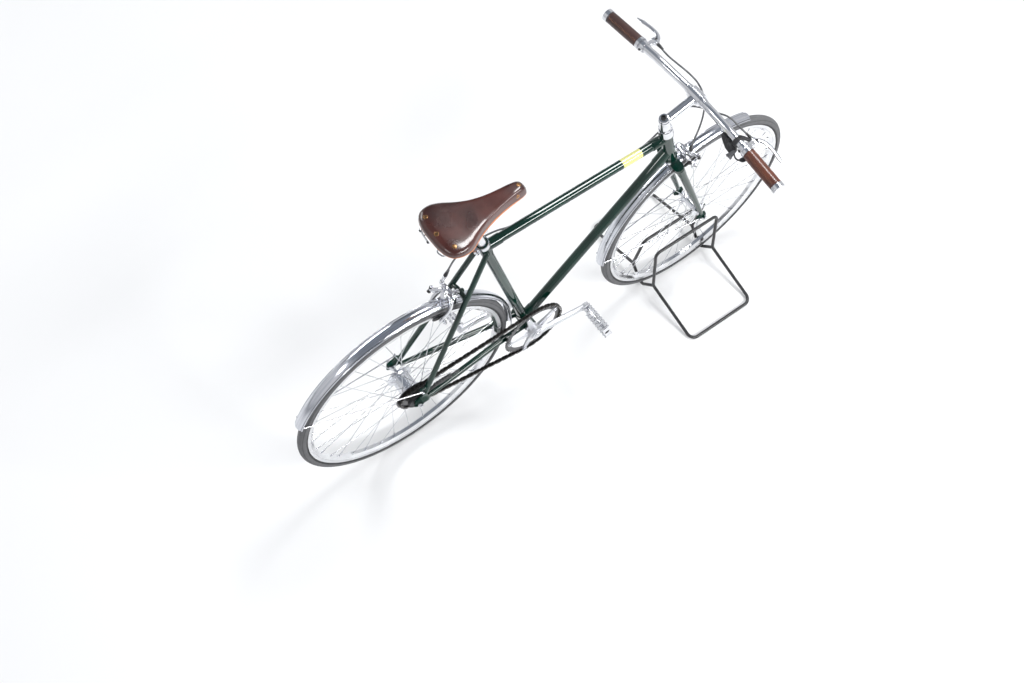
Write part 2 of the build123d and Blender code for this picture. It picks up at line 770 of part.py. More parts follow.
# ---- mudguards ----
def guard_section():
    """The mudguard's rolled-edge channel, drawn as (radius, y)."""
    edge = guard_radius - guard_sag
    outer = ThreePointArc((edge, -guard_half_width), (guard_radius, 0), (edge, guard_half_width))
    inner = ThreePointArc((edge - guard_wall, guard_half_width), (guard_radius - guard_wall, 0),
                          (edge - guard_wall, -guard_half_width))
    ends = [Line(outer @ 1, inner @ 0), Line(inner @ 1, outer @ 0)]
    face = make_face(outer + inner + ends)
    for side in sides.values():
        face = face + Pos(edge - guard_wall / 2, side * guard_half_width) * Circle(guard_bead)
    return face


def mudguard(axle, start, end):
    shell = revolve(guard_section(), Axis.Y, -(end - start))
    return Location(axle) * (Rot(0, -start, 0) * shell)


def guard_stays(axle, eyelet, guard_angle, plate_y):
    """One thin wire each side, from a screw in the dropout's eyelet to the mudguard's edge."""
    wires = []
    for side in sides.values():
        screw = axle + Vector(eyelet[0], side * plate_y, eyelet[1])
        start = screw + Vector(0, side * 3.5, 0)
        end = on_wheel(axle, guard_radius - guard_sag, guard_angle,
                       side * (guard_half_width + guard_bead + stay_wire_radius + 0.1))
        wires.append(rod(start, end, stay_wire_radius) + rod(screw, screw + Vector(0, side * 7, 0), 3.5))
    return Compound(children=wires)


# ---- brakes ----
def front_brake_seat():
    """The bolt's place in the crown, the way up from it and the way to the brake's side."""
    return steer(crown_race - crown_height / 2), axis_up, axis_out


def rear_brake_seat():
    middle = bridge_middle()
    away = (middle - rear_axle).normalized()
    return middle, away, Vector(-away.Z, 0, away.X)


def pad_place(axle, seat, stand_off):
    """Where the pads' plane crosses the rim's braking face, below the brake's bolt."""
    _, away, _ = seat
    foot = caliper_centre(seat, stand_off) - axle
    reach = away.dot(foot)
    track = rim_outer_radius - brake_track_drop
    return axle + foot + away * (math.sqrt(reach ** 2 - foot.length ** 2 + track ** 2) - reach)


def caliper_centre(seat, stand_off):
    mount, _, along = seat
    return mount + along * (stand_off + 1 + caliper_depth / 2)


def barrel_ends(seat, stand_off):
    """The foot and the top of the adjusting barrel, on the side that the cable comes to."""
    _, away, along = seat
    hand = -1 if along.X > 0 else 1
    foot = caliper_centre(seat, stand_off) + along * barrel_ahead + away * barrel_rise
    foot = foot + Vector(0, hand * barrel_y, 0)
    return foot, foot + away * barrel_length


def caliper(axle, seat, stand_off):
    """A dual-pivot caliper: two arms, one before the other, with its bolt and cable barrel."""
    _, away, along = seat
    centre = caliper_centre(seat, stand_off)
    pad = -(pad_place(axle, seat, stand_off) - centre).length
    plane = Plane(origin=centre, x_dir=Vector(0, 1, 0), z_dir=Vector(0, 1, 0).cross(away))
    arch = caliper_arch
    outer = pad_carrier_y
    half = [(0, 7), (14, 4), (arch + 4, -9), (arch + 10, pad + 26), (outer + 5, pad - 5), (outer, pad - 5),
            (outer, pad + 7), (arch, pad + 24), (arch, -12), (12, -7), (0, -7)]
    arm = polygon(half) + Circle(caliper_hub_radius)
    other = mirror(arm, Plane.YZ)
    bolt = rod(centre - along * (caliper_depth / 2 + 1), centre + along * (caliper_depth / 2 + 5), 6.0)
    foot, top = barrel_ends(seat, stand_off)
    elbow = centre + Vector(0, foot.Y * 0.6, 0) + along * 3 - away * 2
    cable_arm = rod(elbow, foot + away * 3, 5.0, 4.0) + rod(foot, top, barrel_radius)
    return extrude(plane * arm, caliper_depth / 2) + extrude(plane * other, -caliper_depth / 2) + bolt + cable_arm


def brake_pads(axle, seat, stand_off):
    """Two rubber blocks beside the rim, carried by the caliper's arms."""
    place = pad_place(axle, seat, stand_off)
    outward = (place - axle).normalized()
    inner = rim_width / 2 + pad_gap
    pads = []
    for side in sides.values():
        plane = Plane(origin=place + Vector(0, side * inner, 0), x_dir=Vector(-outward.Z, 0, outward.X),
                      z_dir=Vector(0, side, 0))
        pads.append(extrude(plane * SlotOverall(50, 11), pad_carrier_y - inner))
    return Compound(children=pads)


# ---- drive ----
def pitch_radius(teeth):
    return chain_pitch / (2 * math.sin(math.pi / teeth))


def toothed_disc(centre, teeth, inner_radius):
    """A sprocket's toothed ring, centred on the chain line."""
    pitch = pitch_radius(teeth)
    root = pitch - tooth_root_drop
    tip = pitch + tooth_rise
    points = []
    for index in range(teeth):
        for share, radius in ((-0.32, root), (-0.12, tip), (0.12, tip), (0.32, root)):
            turn = 2 * math.pi * (index + share) / teeth
            points.append((radius * math.cos(turn), radius * math.sin(turn)))
    face = polygon(points) - Circle(inner_radius)
    plate = extrude(Plane.XZ * face, tooth_half_thickness, both=True)
    return Location(centre + Vector(0, -chain_line, 0)) * plate


def chain_outline(grow):
    """The loop round both sprockets at a distance outside the pitch line, about the rear axle."""
    r1 = pitch_radius(sprocket_teeth) + grow
    r2 = pitch_radius(chainring_teeth) + grow
    gap = Vector(bb.X - rear_axle.X, bb.Z - rear_axle.Z)
    base = math.atan2(gap.Y, gap.X)
    spread = math.acos((r1 - r2) / gap.length)
    edge = []
    for centre, radius in (((0, 0), r1), ((gap.X, gap.Y), r2)):
        for turn in (base + spread, base - spread):
            edge.append((centre[0] + radius * math.cos(turn), centre[1] + radius * math.sin(turn)))
    back = (-r1 * math.cos(base), -r1 * math.sin(base))
    front = (gap.X + r2 * math.cos(base), gap.Y + r2 * math.sin(base))
    wire = Line(edge[0], edge[2]) + ThreePointArc(edge[2], front, edge[3])
    wire = wire + Line(edge[3], edge[1]) + ThreePointArc(edge[1], back, edge[0])
    return make_face(wire)


def chain():
    """The chain as one loop with a groove inside for the teeth."""
    band = chain_outline(chain_half_height) - chain_outline(-chain_half_height)
    loop = extrude(Plane.XZ * band, chain_half_width, both=True)
    groove = chain_outline(chain_groove_rise) - chain_outline(-chain_half_height - 1)
    loop = loop - extrude(Plane.XZ * groove, chain_groove_half_width, both=True)
    return Location(rear_axle + Vector(0, -chain_line, 0)) * loop


def chainring():
    return toothed_disc(bb, chainring_teeth, pitch_radius(chainring_teeth) - 17)


def rear_sprocket():
    """The sprocket with its guard disc on the hub."""
    inner = rear_axle_radius + 12
    teeth = toothed_disc(rear_axle, sprocket_teeth, inner)
    disc = ring(rear_axle + Vector(0, -chain_line + 6.5, 0), Vector(0, 1, 0), 2, 54, inner)
    boss = ring(rear_axle + Vector(0, -chain_line + 3, 0), Vector(0, 1, 0), 8.5, 26, inner)
    return teeth + disc + boss


def crank_end(side, y=0.0):
    turn = math.radians(crank_angle)
    way = Vector(math.cos(turn), 0, math.sin(turn)) * (1 if side < 0 else -1)
    return bb + way * crank_length + Vector(0, y, 0), way


def crank_arm(side):
    """A tapered arm that leans outwards to the pedal's eye."""
    end, way = crank_end(side)
    outer = q_factor / 2
    root_y = side * (outer - 18)
    tip_y = side * (outer - 6.5)
    up = way.cross(Vector(0, 1, 0))
    sections = []
    for along, y, high, thick in ((0, root_y, 30, 15), (35, root_y + side * 2, 25, 13), (crank_length, tip_y, 21, 12)):
        plane = Plane(origin=bb + way * along + Vector(0, y, 0), x_dir=up, z_dir=way)
        sections.append(plane * RectangleRounded(high, thick, 4.5))
    arm = loft(sections, ruled=True)
    arm = arm + ring(bb + Vector(0, root_y, 0), Vector(0, 1, 0), 18, 19, 0.01)
    arm = arm + rod(end + Vector(0, tip_y - side * 6.5, 0), end + Vector(0, tip_y + side * 6.5, 0), 13)
    return arm


def crank_right():
    """The right arm with its five-armed spider and ring bolts."""
    arm = crank_arm(-1)
    face_y = -chain_line - tooth_half_thickness
    bolt_radius = pitch_radius(chainring_teeth) - 12
    outer = q_factor / 2
    hub_disc = rod(bb + Vector(0, face_y, 0), bb + Vector(0, -(outer - 14), 0), 24)
    pieces = [arm, hub_disc]
    for index in range(5):
        way = on_wheel(Vector(0, 0, 0), 1, crank_angle + 36 + 72 * index)
        foot = Plane(origin=bb + way * 16 + Vector(0, face_y - 4, 0), x_dir=Vector(0, 1, 0), z_dir=way)
        hand = Plane(origin=bb + way * bolt_radius + Vector(0, face_y - 2, 0), x_dir=Vector(0, 1, 0), z_dir=way)
        pieces.append(loft([foot * Rectangle(7.98, 22), hand * Rectangle(3.98, 13)]))
        place = bb + way * bolt_radius
        pieces.append(rod(place + Vector(0, face_y, 0), place + Vector(0, face_y - 5.5, 0), 7))
    body = solid_of(pieces)
    return body - crank_axle_rod() - pedal_axle_rod(-1)


def crank_left():
    return crank_arm(1) - crank_axle_rod() - pedal_axle_rod(1)


def crank_axle_rod():
    half = q_factor / 2 - 12
    return rod(bb - Vector(0, half, 0), bb + Vector(0, half, 0), bb_axle_radius)


def pedal_axle_rod(side):
    outer = q_factor / 2
    start, _ = crank_end(side, side * (outer - 12))
    end, _ = crank_end(side, side * (outer + pedal_length - 2))
    return rod(start, end, pedal_axle_radius)


def bb_cups():
    """The bearing cups, a press in the shell and a running fit on the axle."""
    cups = []
    for side in sides.values():
        y = side * (bb_shell_width / 2 - 5)
        cups.append(ring(bb + Vector(0, y, 0), Vector(0, 1, 0), 16, bb_shell_radius - 3.0 - fit,
                         bb_axle_radius + fit))
    return Compound(children=cups)


def pedal(side):
    """A cage pedal: barrel, two end plates and two toothed cage rails."""
    outer = q_factor / 2
    centre_y = outer + 5 + pedal_length / 2
    half = pedal_length / 2
    bore = pedal_axle_radius + fit
    across = Vector(0, 1, 0)
    place, _ = crank_end(side, side * centre_y)
    turned = Location(place) * Rot(0, -pedal_tilt, 0)
    body = ring(place, across, pedal_length - 6, 9, bore)
    frame = Rectangle(pedal_width, pedal_length) - Rectangle(pedal_width - 5, pedal_length - 8)
    body = body + turned * extrude(frame, cage_half_height, both=True)
    for edge in (-1, 1):
        for index in range(7):
            y = (index - 3) * pedal_length / 8
            tooth = Pos(edge * (pedal_width / 2 - 1.25), y, cage_half_height + 1.5) * Box(2.5, 5, 3)
            body = body + turned * tooth + turned * mirror(tooth, Plane.XY)
    for end in (-1, 1):
        body = body + ring(place + across * end * (half - 2), across, 4, 11, bore)
    body = body + turned * (Box(pedal_width - 4, 4, 8))
    return body - rod(place - across * half * 2, place + across * half * 2, bore)


# ---- cables ----
def arc_radii(points):
    """The largest arc that each corner's two runs leave room for."""
    radii = []
    for before, corner, after in zip(points, points[1:], points[2:]):
        turn = math.radians((corner - before).get_angle(after - corner))
        run = min((corner - before).length, (after - corner).length)
        radii.append(arc_share * run / math.tan(turn / 2))
    return radii


def cable(name, points):
    """A housing along its route, with a ferrule over each end."""
    radii = arc_radii(points)
    housing = bent_rod(points, radii, cable_radius)
    length = housing.volume / (math.pi * cable_radius ** 2)
    print(name, "length", round(length), "arcs", [round(radius) for radius in radii])
    for end, inner in ((points[0], points[1]), (points[-1], points[-2])):
        housing = housing + rod(end, end + (inner - end).normalized() * ferrule_length, ferrule_radius)
    return housing


def lever_outlet(side):
    """Where a cable leaves its lever, on the inner face of the lever's block."""
    place, _ = on_bar(side, lever_place)
    pivot = place + lever_ahead * lever_pivot
    return pivot - Vector(0, side * (lever_block / 2 + cable_gap), 0)


def guide_line(share):
    """The middle of a cable guide on the top tube."""
    turn = math.radians(guide_angle)
    reach = top_tube_radius + cable_radius + 0.7
    rear = seat_line((top_tube_z - bb_z) / seat_up.Z)
    place = top_tube_front() + (rear - top_tube_front()) * share
    return place + Vector(0, reach * math.cos(turn), -reach * math.sin(turn))


def front_brake_cable():
    """From the left lever, over the bar's front and down to the caliper."""
    start = lever_outlet(1)
    _, end = barrel_ends(front_brake_seat(), blade_root_radius + crown_margin)
    end = end + axis_up * cable_gap
    centre = bar_centre()
    past_bar = [(20.8, 146, 2.4), (24.3, 104, 4.4), (28.8, 62, 5.4), (31.8, 26, -1.6), (30.3, -3, -24.6),
                (20.8, -22, -61.6)]
    down = [(9, 0, 82), (-3, -0.8, 41)]
    points = [start] + [Vector(centre.X + x, y, centre.Z + z) for x, y, z in past_bar]
    points += [Vector(end.X + x, end.Y + y, end.Z + z) for x, y, z in down]
    return cable("front_brake_cable", points + [end])


def rear_brake_cable():
    """From the right lever, under the bar, along the top tube's left and down to the caliper."""
    start = lever_outlet(-1)
    _, away, _ = rear_brake_seat()
    _, end = barrel_ends(rear_brake_seat(), bridge_boss_half)
    end = end + away * cable_gap
    centre = bar_centre()
    front, rear = [guide_line(share) for share in guided_run]
    past_bar = [(21.3, -142, 6.4), (23.3, -100, 5.4), (12, -62, -10), (5, -22, -26), (-17.8, 8.7, -35),
                (-47, 15.7, -67), (-75, 26, -112)]
    down = [(66, 1, 77), (30, 0, 55), (12, -0.6, 27)]
    points = [start] + [Vector(centre.X + x, y, centre.Z + z) for x, y, z in past_bar]
    points += [front, rear, rear + Vector(-48, 14, 3)]
    points += [Vector(end.X + x, end.Y + y, end.Z + z) for x, y, z in down]
    return cable("rear_brake_cable", points + [end])


def gear_joint():
    """The hub gear's cable joint inside the right dropout, with the end of its cable."""
    face = rear_axle - Vector(0, rear_hub_width / 2 - gear_joint_inset, 0)
    middle = face + Vector(0, gear_joint_width / 2, 0)
    body = ring(middle, Vector(0, 1, 0), gear_joint_width, gear_joint_radius, rear_axle_radius + 4.5 + fit)
    tip, neck = rear_axle + Vector(stay_tip_forward - 12, -stay_tip_y, chain_stay_tip_z), chain_stay_neck(-1)
    body = body - rod(tip, neck, chain_stay_tip_radius + 1.5, chain_stay_radius + 1.5)
    start = middle + Vector(gear_joint_radius - 6, 0, 12)
    knee = start + Vector(20, 1, -4)
    stop = rear_axle + Vector(75, -54, 2)
    lead = rod(start, knee, 5.0, 3.2) + rod(knee, stop, cable_radius) + Location(knee) * Sphere(3.2)
    barrel_end = stop + Vector(42, 2, 1)
    barrel = rod(stop, barrel_end, barrel_radius)
    side = Vector(barrel_end.X - 8, barrel_end.Y, barrel_end.Z)
    foot = side - Vector(0, 0, 14)
    bracket = rod(side, foot, 2.4) - chain_stay(-1)
    return body + lead + barrel + bracket.solids().sort_by(Axis.Z)[-1]


# ---- stand ----
def display_stand():
    """Bent wire: two side loops joined by cradles under the tyre."""
    rear = front_axle.X + stand_offset - stand_length / 2
    front = rear + stand_length
    pieces = []
    for side in sides.values():
        corners = [(rear, stand_half_track, stand_wire_radius), (front, stand_half_track, stand_wire_radius),
                   (front, stand_waist_y, stand_waist_z), (front, stand_top_y, stand_top_z),
                   (rear, stand_top_y, stand_top_z), (rear, stand_waist_y, stand_waist_z)]
        corners = [Vector(x, side * y, z) for x, y, z in corners]
        start = (corners[0] + corners[1]) * 0.5
        first = [start, corners[1], corners[2], corners[3], (corners[3] + corners[4]) * 0.5]
        second = [first[-1], corners[4], corners[5], corners[0], start]
        radii = [stand_corner, stand_waist_bend, stand_top_corner]
        pieces.append(bent_rod(first, radii, stand_wire_radius))
        pieces.append(bent_rod(second, radii[::-1], stand_wire_radius))
    reach = tyre_radius + cradle_gap + stand_wire_radius
    near = min(abs(rear - front_axle.X), abs(front - front_axle.X))
    low = front_axle.Z - math.sqrt(reach ** 2 - near ** 2)
    for x in (rear, front):
        pieces.append(bent_rod([Vector(x, -stand_waist_y, stand_waist_z), Vector(x, -9, low), Vector(x, 9, low),
                                Vector(x, stand_waist_y, stand_waist_z)], 10, stand_wire_radius))
    return solid_of(pieces)


def build_parts():
    parts = {}
    for name, axle, count, shell, flange, flange_y, half, radius in (
            ("front", front_axle, front_spoke_count, front_shell_radius, front_flange_radius, front_flange_y,
             front_hub_width / 2 - 6.3, front_axle_radius),
            ("rear", rear_axle, rear_spoke_count, rear_shell_radius, rear_flange_radius, rear_flange_y, 36.0,
             rear_axle_radius)):
        parts[name + "_tyre"] = tyre(axle)
        parts[name + "_rim"] = rim(axle)
        parts[name + "_spokes"] = spokes(axle, count, flange, flange_y)
        parts[name + "_hub"] = hub(axle, shell, flange, flange_y, half, radius)
    parts["front_axle"] = axle_set(front_axle, front_axle_radius, front_hub_width, dropout_thickness, 11, 8)
    parts["rear_axle"] = axle_set(rear_axle, rear_axle_radius, rear_hub_width, dropout_thickness, 13, 9)
    parts["head_tube"] = head_tube()
    parts["top_tube"] = top_tube()
    parts["down_tube"] = down_tube()
    parts["seat_tube"] = seat_tube()
    parts["bottom_bracket_shell"] = bottom_bracket_shell()
    for name, make in (("chain_stays", chain_stay), ("seat_stays", seat_stay), ("fork_blades", fork_blade),
                       ("grips", grip), ("brake_levers", brake_lever)):
        parts[name] = Compound(children=[make(side) for side in sides.values()])
    for name, side in sides.items():
        parts["pedal_" + name] = pedal(side)
    parts["brake_bridge"] = brake_bridge()
    parts["fork_crown"] = fork_crown()
    parts["headset_cups"] = headset_cups()
    parts["headset_locknut"] = headset_locknut()
    parts["stem"] = stem()
    parts["handlebar"] = handlebar()
    parts["grip_rings"] = grip_rings()
    parts["gear_shifter"] = gear_shifter()
    parts["saddle_cover"] = saddle_cover()
    parts["saddle_rails"] = saddle_rails()
    parts["seat_post"] = seat_post()
    parts["seat_collar"] = seat_collar()
    parts["rear_mudguard"] = mudguard(rear_axle, rear_guard_start, rear_guard_end)
    parts["front_mudguard"] = mudguard(front_axle, front_guard_start, front_guard_end)
    parts["rear_mudguard_stays"] = guard_stays(rear_axle, rear_eyelet, rear_guard_end - 3, eyelet_boss_y[1])
    parts["front_mudguard_stays"] = guard_stays(front_axle, front_eyelet, front_guard_end - 4,
                                                front_hub_width / 2 + dropout_thickness)
    for name, axle, seat, stand_off in (
            ("front", front_axle, front_brake_seat(), blade_root_radius + crown_margin),
            ("rear", rear_axle, rear_brake_seat(), bridge_boss_half)):
        parts[name + "_brake_caliper"] = caliper(axle, seat, stand_off)
        parts[name + "_brake_pads"] = brake_pads(axle, seat, stand_off)
    parts["chain"] = chain()
    parts["chainring"] = chainring()
    parts["rear_sprocket"] = rear_sprocket()
    parts["crank_right"] = crank_right()
    parts["crank_left"] = crank_left()
    axles = [pedal_axle_rod(side) for side in sides.values()]
    parts["crank_axles"] = Compound(children=[crank_axle_rod()] + axles)
    parts["bottom_bracket_cups"] = bb_cups()
    parts["gear_joint"] = gear_joint()
    parts["front_brake_cable"] = front_brake_cable()
    parts["rear_brake_cable"] = rear_brake_cable()
    parts["display_stand"] = display_stand()
    return parts


def main():
    os.makedirs("parts", exist_ok=True)
    for name, shape in build_parts().items():
        export_step(shape, "parts/" + name + ".step")


main()
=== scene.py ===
import math
import time

import bmesh
import bpy
import numpy as np
from mathutils import Matrix, Vector


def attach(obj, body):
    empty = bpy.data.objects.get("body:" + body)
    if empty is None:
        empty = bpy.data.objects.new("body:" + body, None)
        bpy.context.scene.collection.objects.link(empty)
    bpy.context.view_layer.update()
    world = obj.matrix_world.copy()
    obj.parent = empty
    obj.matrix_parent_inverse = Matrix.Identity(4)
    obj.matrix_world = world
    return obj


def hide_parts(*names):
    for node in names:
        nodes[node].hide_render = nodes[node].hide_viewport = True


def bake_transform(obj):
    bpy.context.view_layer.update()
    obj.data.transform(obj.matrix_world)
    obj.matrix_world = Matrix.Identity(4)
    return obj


started = time.time()


def report(stage):
    print(f"{time.time() - started:6.1f} s  {stage}")


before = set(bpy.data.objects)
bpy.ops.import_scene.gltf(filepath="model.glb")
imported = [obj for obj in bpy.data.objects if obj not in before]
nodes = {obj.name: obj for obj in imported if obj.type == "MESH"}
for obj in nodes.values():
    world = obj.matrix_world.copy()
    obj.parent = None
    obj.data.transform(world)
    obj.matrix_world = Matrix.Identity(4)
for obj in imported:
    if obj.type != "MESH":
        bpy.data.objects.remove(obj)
bpy.context.scene.view_settings.view_transform = "Standard"
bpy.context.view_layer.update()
report("packed model loaded")


# camera
view = {
    "target": (-0.08415, 0.06998, 0.0),
    "distance": 3.7744,
    "azimuth": -130.488,  # degrees from forward towards the left
    "elevation": 62.624,
    "roll": 4.636,
    "lens": 42.617,
    "sensor": 36.0,
}


def placeCamera():
    # on a line from its target, rolled about its own axis
    azimuth, elevation, roll = (math.radians(view[key]) for key in ("azimuth", "elevation", "roll"))
    back = Vector((math.cos(elevation) * math.cos(azimuth), math.cos(elevation) * math.sin(azimuth),
                   math.sin(elevation)))
    level = Vector((-math.sin(azimuth), math.cos(azimuth), 0.0))
    upright = back.cross(level)
    right = level * math.cos(roll) + upright * math.sin(roll)
    up = upright * math.cos(roll) - level * math.sin(roll)
    turned = Matrix((right, up, back)).transposed().to_4x4()
    camera = bpy.data.objects.new("camera", bpy.data.cameras.new("camera"))
    camera.matrix_world = Matrix.Translation(Vector(view["target"]) + back * view["distance"]) @ turned
    camera.data.lens = view["lens"]
    camera.data.sensor_width = view["sensor"]
    camera.data.clip_end = 100.0
    bpy.context.scene.collection.objects.link(camera)
    bpy.context.scene.camera = camera


placeCamera()
report("camera placed")


# shader maths
class Wire:
    # an output in a material's tree that adds and multiplies like a number
    def __init__(self, finish, socket):
        self.finish, self.socket = finish, socket

    def maths(self, operation, other=None, swapped=False):
        terms = [other, self] if swapped else [self, other]
        inputs = {index: term for index, term in enumerate(terms) if term is not None}
        return self.finish.node("Math", {"operation": operation}, inputs)

    def __add__(self, other):
        return self.maths("ADD", other)

    def __radd__(self, other):
        return self.maths("ADD", other)

    def __sub__(self, other):
        return self.maths("SUBTRACT", other)

    def __rsub__(self, other):
        return self.maths("SUBTRACT", other, swapped=True)

    def __mul__(self, other):
        return self.maths("MULTIPLY", other)

    def __rmul__(self, other):
        return self.maths("MULTIPLY", other)

    def __abs__(self):
        return self.maths("ABSOLUTE")

    def wave(self):
        return self.maths("SINE")

    def root(self):
        return self.maths("SQRT")

    def most(self, other):
        return self.maths("MAXIMUM", other)

    def least(self, other):
        return self.maths("MINIMUM", other)

    def ramp(self, low, high):  # 0 at low, 1 at high, smooth between
        if low > high:
            return 1.0 - self.ramp(high, low)
        settings = {"interpolation_type": "SMOOTHSTEP"}
        return self.finish.node("MapRange", settings, {"Value": self, "From Min": low, "From Max": high})


class Finish:
    # a node tree being built: a material's, or the world's
    def __init__(self, name, world=False):
        self.owner = (bpy.data.worlds if world else bpy.data.materials).new(name)
        self.owner.use_nodes = True
        self.tree = self.owner.node_tree
        self.shader = self.tree.nodes["Background" if world else "Principled BSDF"]

    def node(self, kind, settings=None, inputs=None, output=0):
        made = self.tree.nodes.new("ShaderNode" + kind)
        for key, value in (settings or {}).items():
            setattr(made, key, value)
        for key, value in (inputs or {}).items():
            self.feed(made.inputs[key], value)
        return Wire(self, made.outputs[output])

    def feed(self, socket, value):
        if isinstance(value, Wire):
            self.tree.links.new(value.socket, socket)
        elif isinstance(value, tuple) and len(socket.default_value) == 4 and len(value) == 3:
            socket.default_value = (*value, 1.0)
        else:
            socket.default_value = value

    def place(self):
        return self.node("TexCoord", output="Object")

    def axes(self, vector=None):
        split = self.node("SeparateXYZ", inputs={0: vector or self.place()})
        return [Wire(self, output) for output in split.socket.node.outputs]

    def noise(self, scale, detail, vector=None):
        return self.node("TexNoise", inputs={"Vector": vector or self.place(), "Scale": scale, "Detail": detail})

    def cells(self, scale, feature="F1"):
        return self.node("TexVoronoi", {"feature": feature}, {"Vector": self.place(), "Scale": scale})

    def mix(self, factor, first, second):
        return self.node("Mix", {"data_type": "RGBA"}, {0: factor, 6: first, 7: second}, output=2)

    def paint(self, bump=None, **inputs):  # bump: height, distance and strength
        if bump:
            inputs["normal"] = self.node("Bump", inputs=dict(zip(("Height", "Distance", "Strength"), bump)))
        for key, value in inputs.items():
            words = "".join(" " + letter if letter.isupper() else letter for letter in key).title()
            self.feed(self.shader.inputs[words.replace("I O R", "IOR")], value)
        return self.owner


# light and floor
studio = {
    "floorSize": 40.0,
    "floorColour": (0.785, 0.785, 0.785),
    "floorRoughness": 0.85,
    "floorGlow": 0.15,  # share of plain white in what the camera sees of the floor
    "ceiling": (0.235, 0.26, 0.30),
    "coving": (0.085, 0.09, 0.10),  # darkest part of the room, between the wall and the ceiling
    "wall": (1.0, 1.01, 1.03),
    "ends": (0.66, 0.67, 0.69),
    "wallTop": 0.13,  # sines of the elevation where the wall, the coving and the ends stop
    "covingTop": 0.29,
    "ceilingFrom": 0.75,
    "endsTop": (0.80, 0.62),
    "endsFrom": (0.42, 0.62),  # share of forward or backward in the way to the ends
    "lampsAbout": (0.0, 0.0, 0.6),
    "lamps": (  # way to the lamp, its distance, way along it, length, width, radiance
        ((0.30, -0.80, 0.53), 4.0, (0.95, 0.30, -0.08), 2.8, 0.60, 34.0),
        ((-0.30, 0.78, 0.55), 4.2, (0.93, 0.36, 0.0), 2.6, 0.45, 16.0),
        ((-0.80, -0.05, 0.60), 4.2, (0.05, 1.0, 0.10), 1.6, 0.35, 14.0),
        ((0.42, 0.14, 0.90), 3.4, (0.0, 1.0, 0.0), 1.1, 0.75, 24.0),
    ),
}


def lightRoom():
    # bright walls under a dim ceiling, with four rectangular lamps about the piece
    room = Finish("room", world=True)
    x, _, z = room.axes(room.node("TexCoord", output="Generated"))
    light = room.mix(z.ramp(studio["wallTop"], studio["covingTop"]), studio["wall"], studio["coving"])
    light = room.mix(z.ramp(studio["covingTop"], studio["ceilingFrom"]), light, studio["ceiling"])
    ends = abs(x).ramp(*studio["endsFrom"]) * z.ramp(*studio["endsTop"])
    light = room.mix(ends, light, studio["ends"])
    room.feed(room.shader.inputs["Color"], light)
    bpy.context.scene.world = room.owner
    for index, (way, distance, along, length, width, radiance) in enumerate(studio["lamps"]):
        way, along = (Vector(value).normalized() for value in (way, along))
        upright = way.cross(along).normalized()
        light = bpy.data.lights.new(f"lamp_{index}", "AREA")
        light.shape = "RECTANGLE"
        light.size, light.size_y = length, width
        light.energy = radiance * math.pi * length * width
        lamp = bpy.data.objects.new(light.name, light)
        turn = Matrix((upright.cross(way), upright, way)).transposed().to_4x4()
        lamp.matrix_world = Matrix.Translation(Vector(studio["lampsAbout"]) + way * distance) @ turn
        bpy.context.scene.collection.objects.link(lamp)


def layFloor():
    # a pale sheet that the camera sees a little brighter than it is lit
    half = studio["floorSize"] / 2
    mesh = bpy.data.meshes.new("floor")
    corners = [(-half, -half, 0), (half, -half, 0), (half, half, 0), (-half, half, 0)]
    mesh.from_pydata(corners, [], [(0, 1, 2, 3)])
    floor = bpy.data.objects.new("floor", mesh)
    bpy.context.scene.collection.objects.link(floor)
    finish = Finish("floor")
    finish.paint(baseColor=studio["floorColour"], roughness=studio["floorRoughness"])
    seen = finish.node("LightPath", output="Is Camera Ray") * studio["floorGlow"]
    glow = finish.node("Emission", inputs={"Color": (1.0, 1.0, 1.0), "Strength": 1.0})
    base = Wire(finish, finish.shader.outputs[0])
    both = finish.node("MixShader", inputs={0: seen, 1: base, 2: glow})
    finish.feed(finish.tree.nodes["Material Output"].inputs["Surface"], both)
    mesh.materials.append(finish.owner)


lightRoom()
layFloor()
report("room lit")


# mesh helpers: shapes are worked out in millimetres, as points and faces
def solidGrid(rings):
    # a closed skin of quads over rings of points, with a face over each end
    rows, columns = rings.shape[:2]
    row, column = np.meshgrid(np.arange(rows - 1), np.arange(columns), indexing="ij")
    here, after = row * columns + column, row * columns + (column + 1) % columns
    faces = np.stack((here, after, after + columns, here + columns), -1).reshape(-1, 4).tolist()
    last = (rows - 1) * columns
    return rings.reshape(-1, 3), faces + [list(range(columns))[::-1], list(range(last, last + columns))]


def joined(parts):
    # shapes one after another in one mesh, each one's faces counted on from the last
    points, faces = [], []
    total = 0
    for some, shapes in parts:
        points.append(some)
        faces += [[index + total for index in face] for face in shapes]
        total += len(some)
    return np.concatenate(points), faces


def unit(vectors):
    return vectors / np.linalg.norm(vectors, axis=-1, keepdims=True)


def crossAxes(along):
    # two unit vectors square to a direction and to each other
    along = unit(np.array(along, float))
    first = unit(np.cross((0.0, 0.0, 1.0) if abs(along[2]) < 0.9 else (1.0, 0.0, 0.0), along))
    return along, first, np.cross(along, first)


def around(turn, first, second):
    # unit vectors at some turns from the first direction towards the second
    return np.cos(turn)[:, None] * first + np.sin(turn)[:, None] * second


def turned(origin, along, profile, sides=24):
    # rings about an axis; each profile row is distance along, radius and, for a socket, its corners
    along, first, second = crossAxes(along)
    angle = np.linspace(0, 2 * np.pi, sides, endpoint=False)
    ring = around(angle, first, second)
    rings = []
    for row in profile:
        radius = np.full(sides, float(row[1]))
        if len(row) > 2:  # radius of a regular polygon: flat distance / cos(angle to the nearest flat's middle)
            sector = 2 * np.pi / row[2]
            radius = radius / np.cos((angle % sector) - sector / 2)
        rings.append(np.array(origin) + along * row[0] + ring * radius[:, None])
    return solidGrid(np.array(rings))


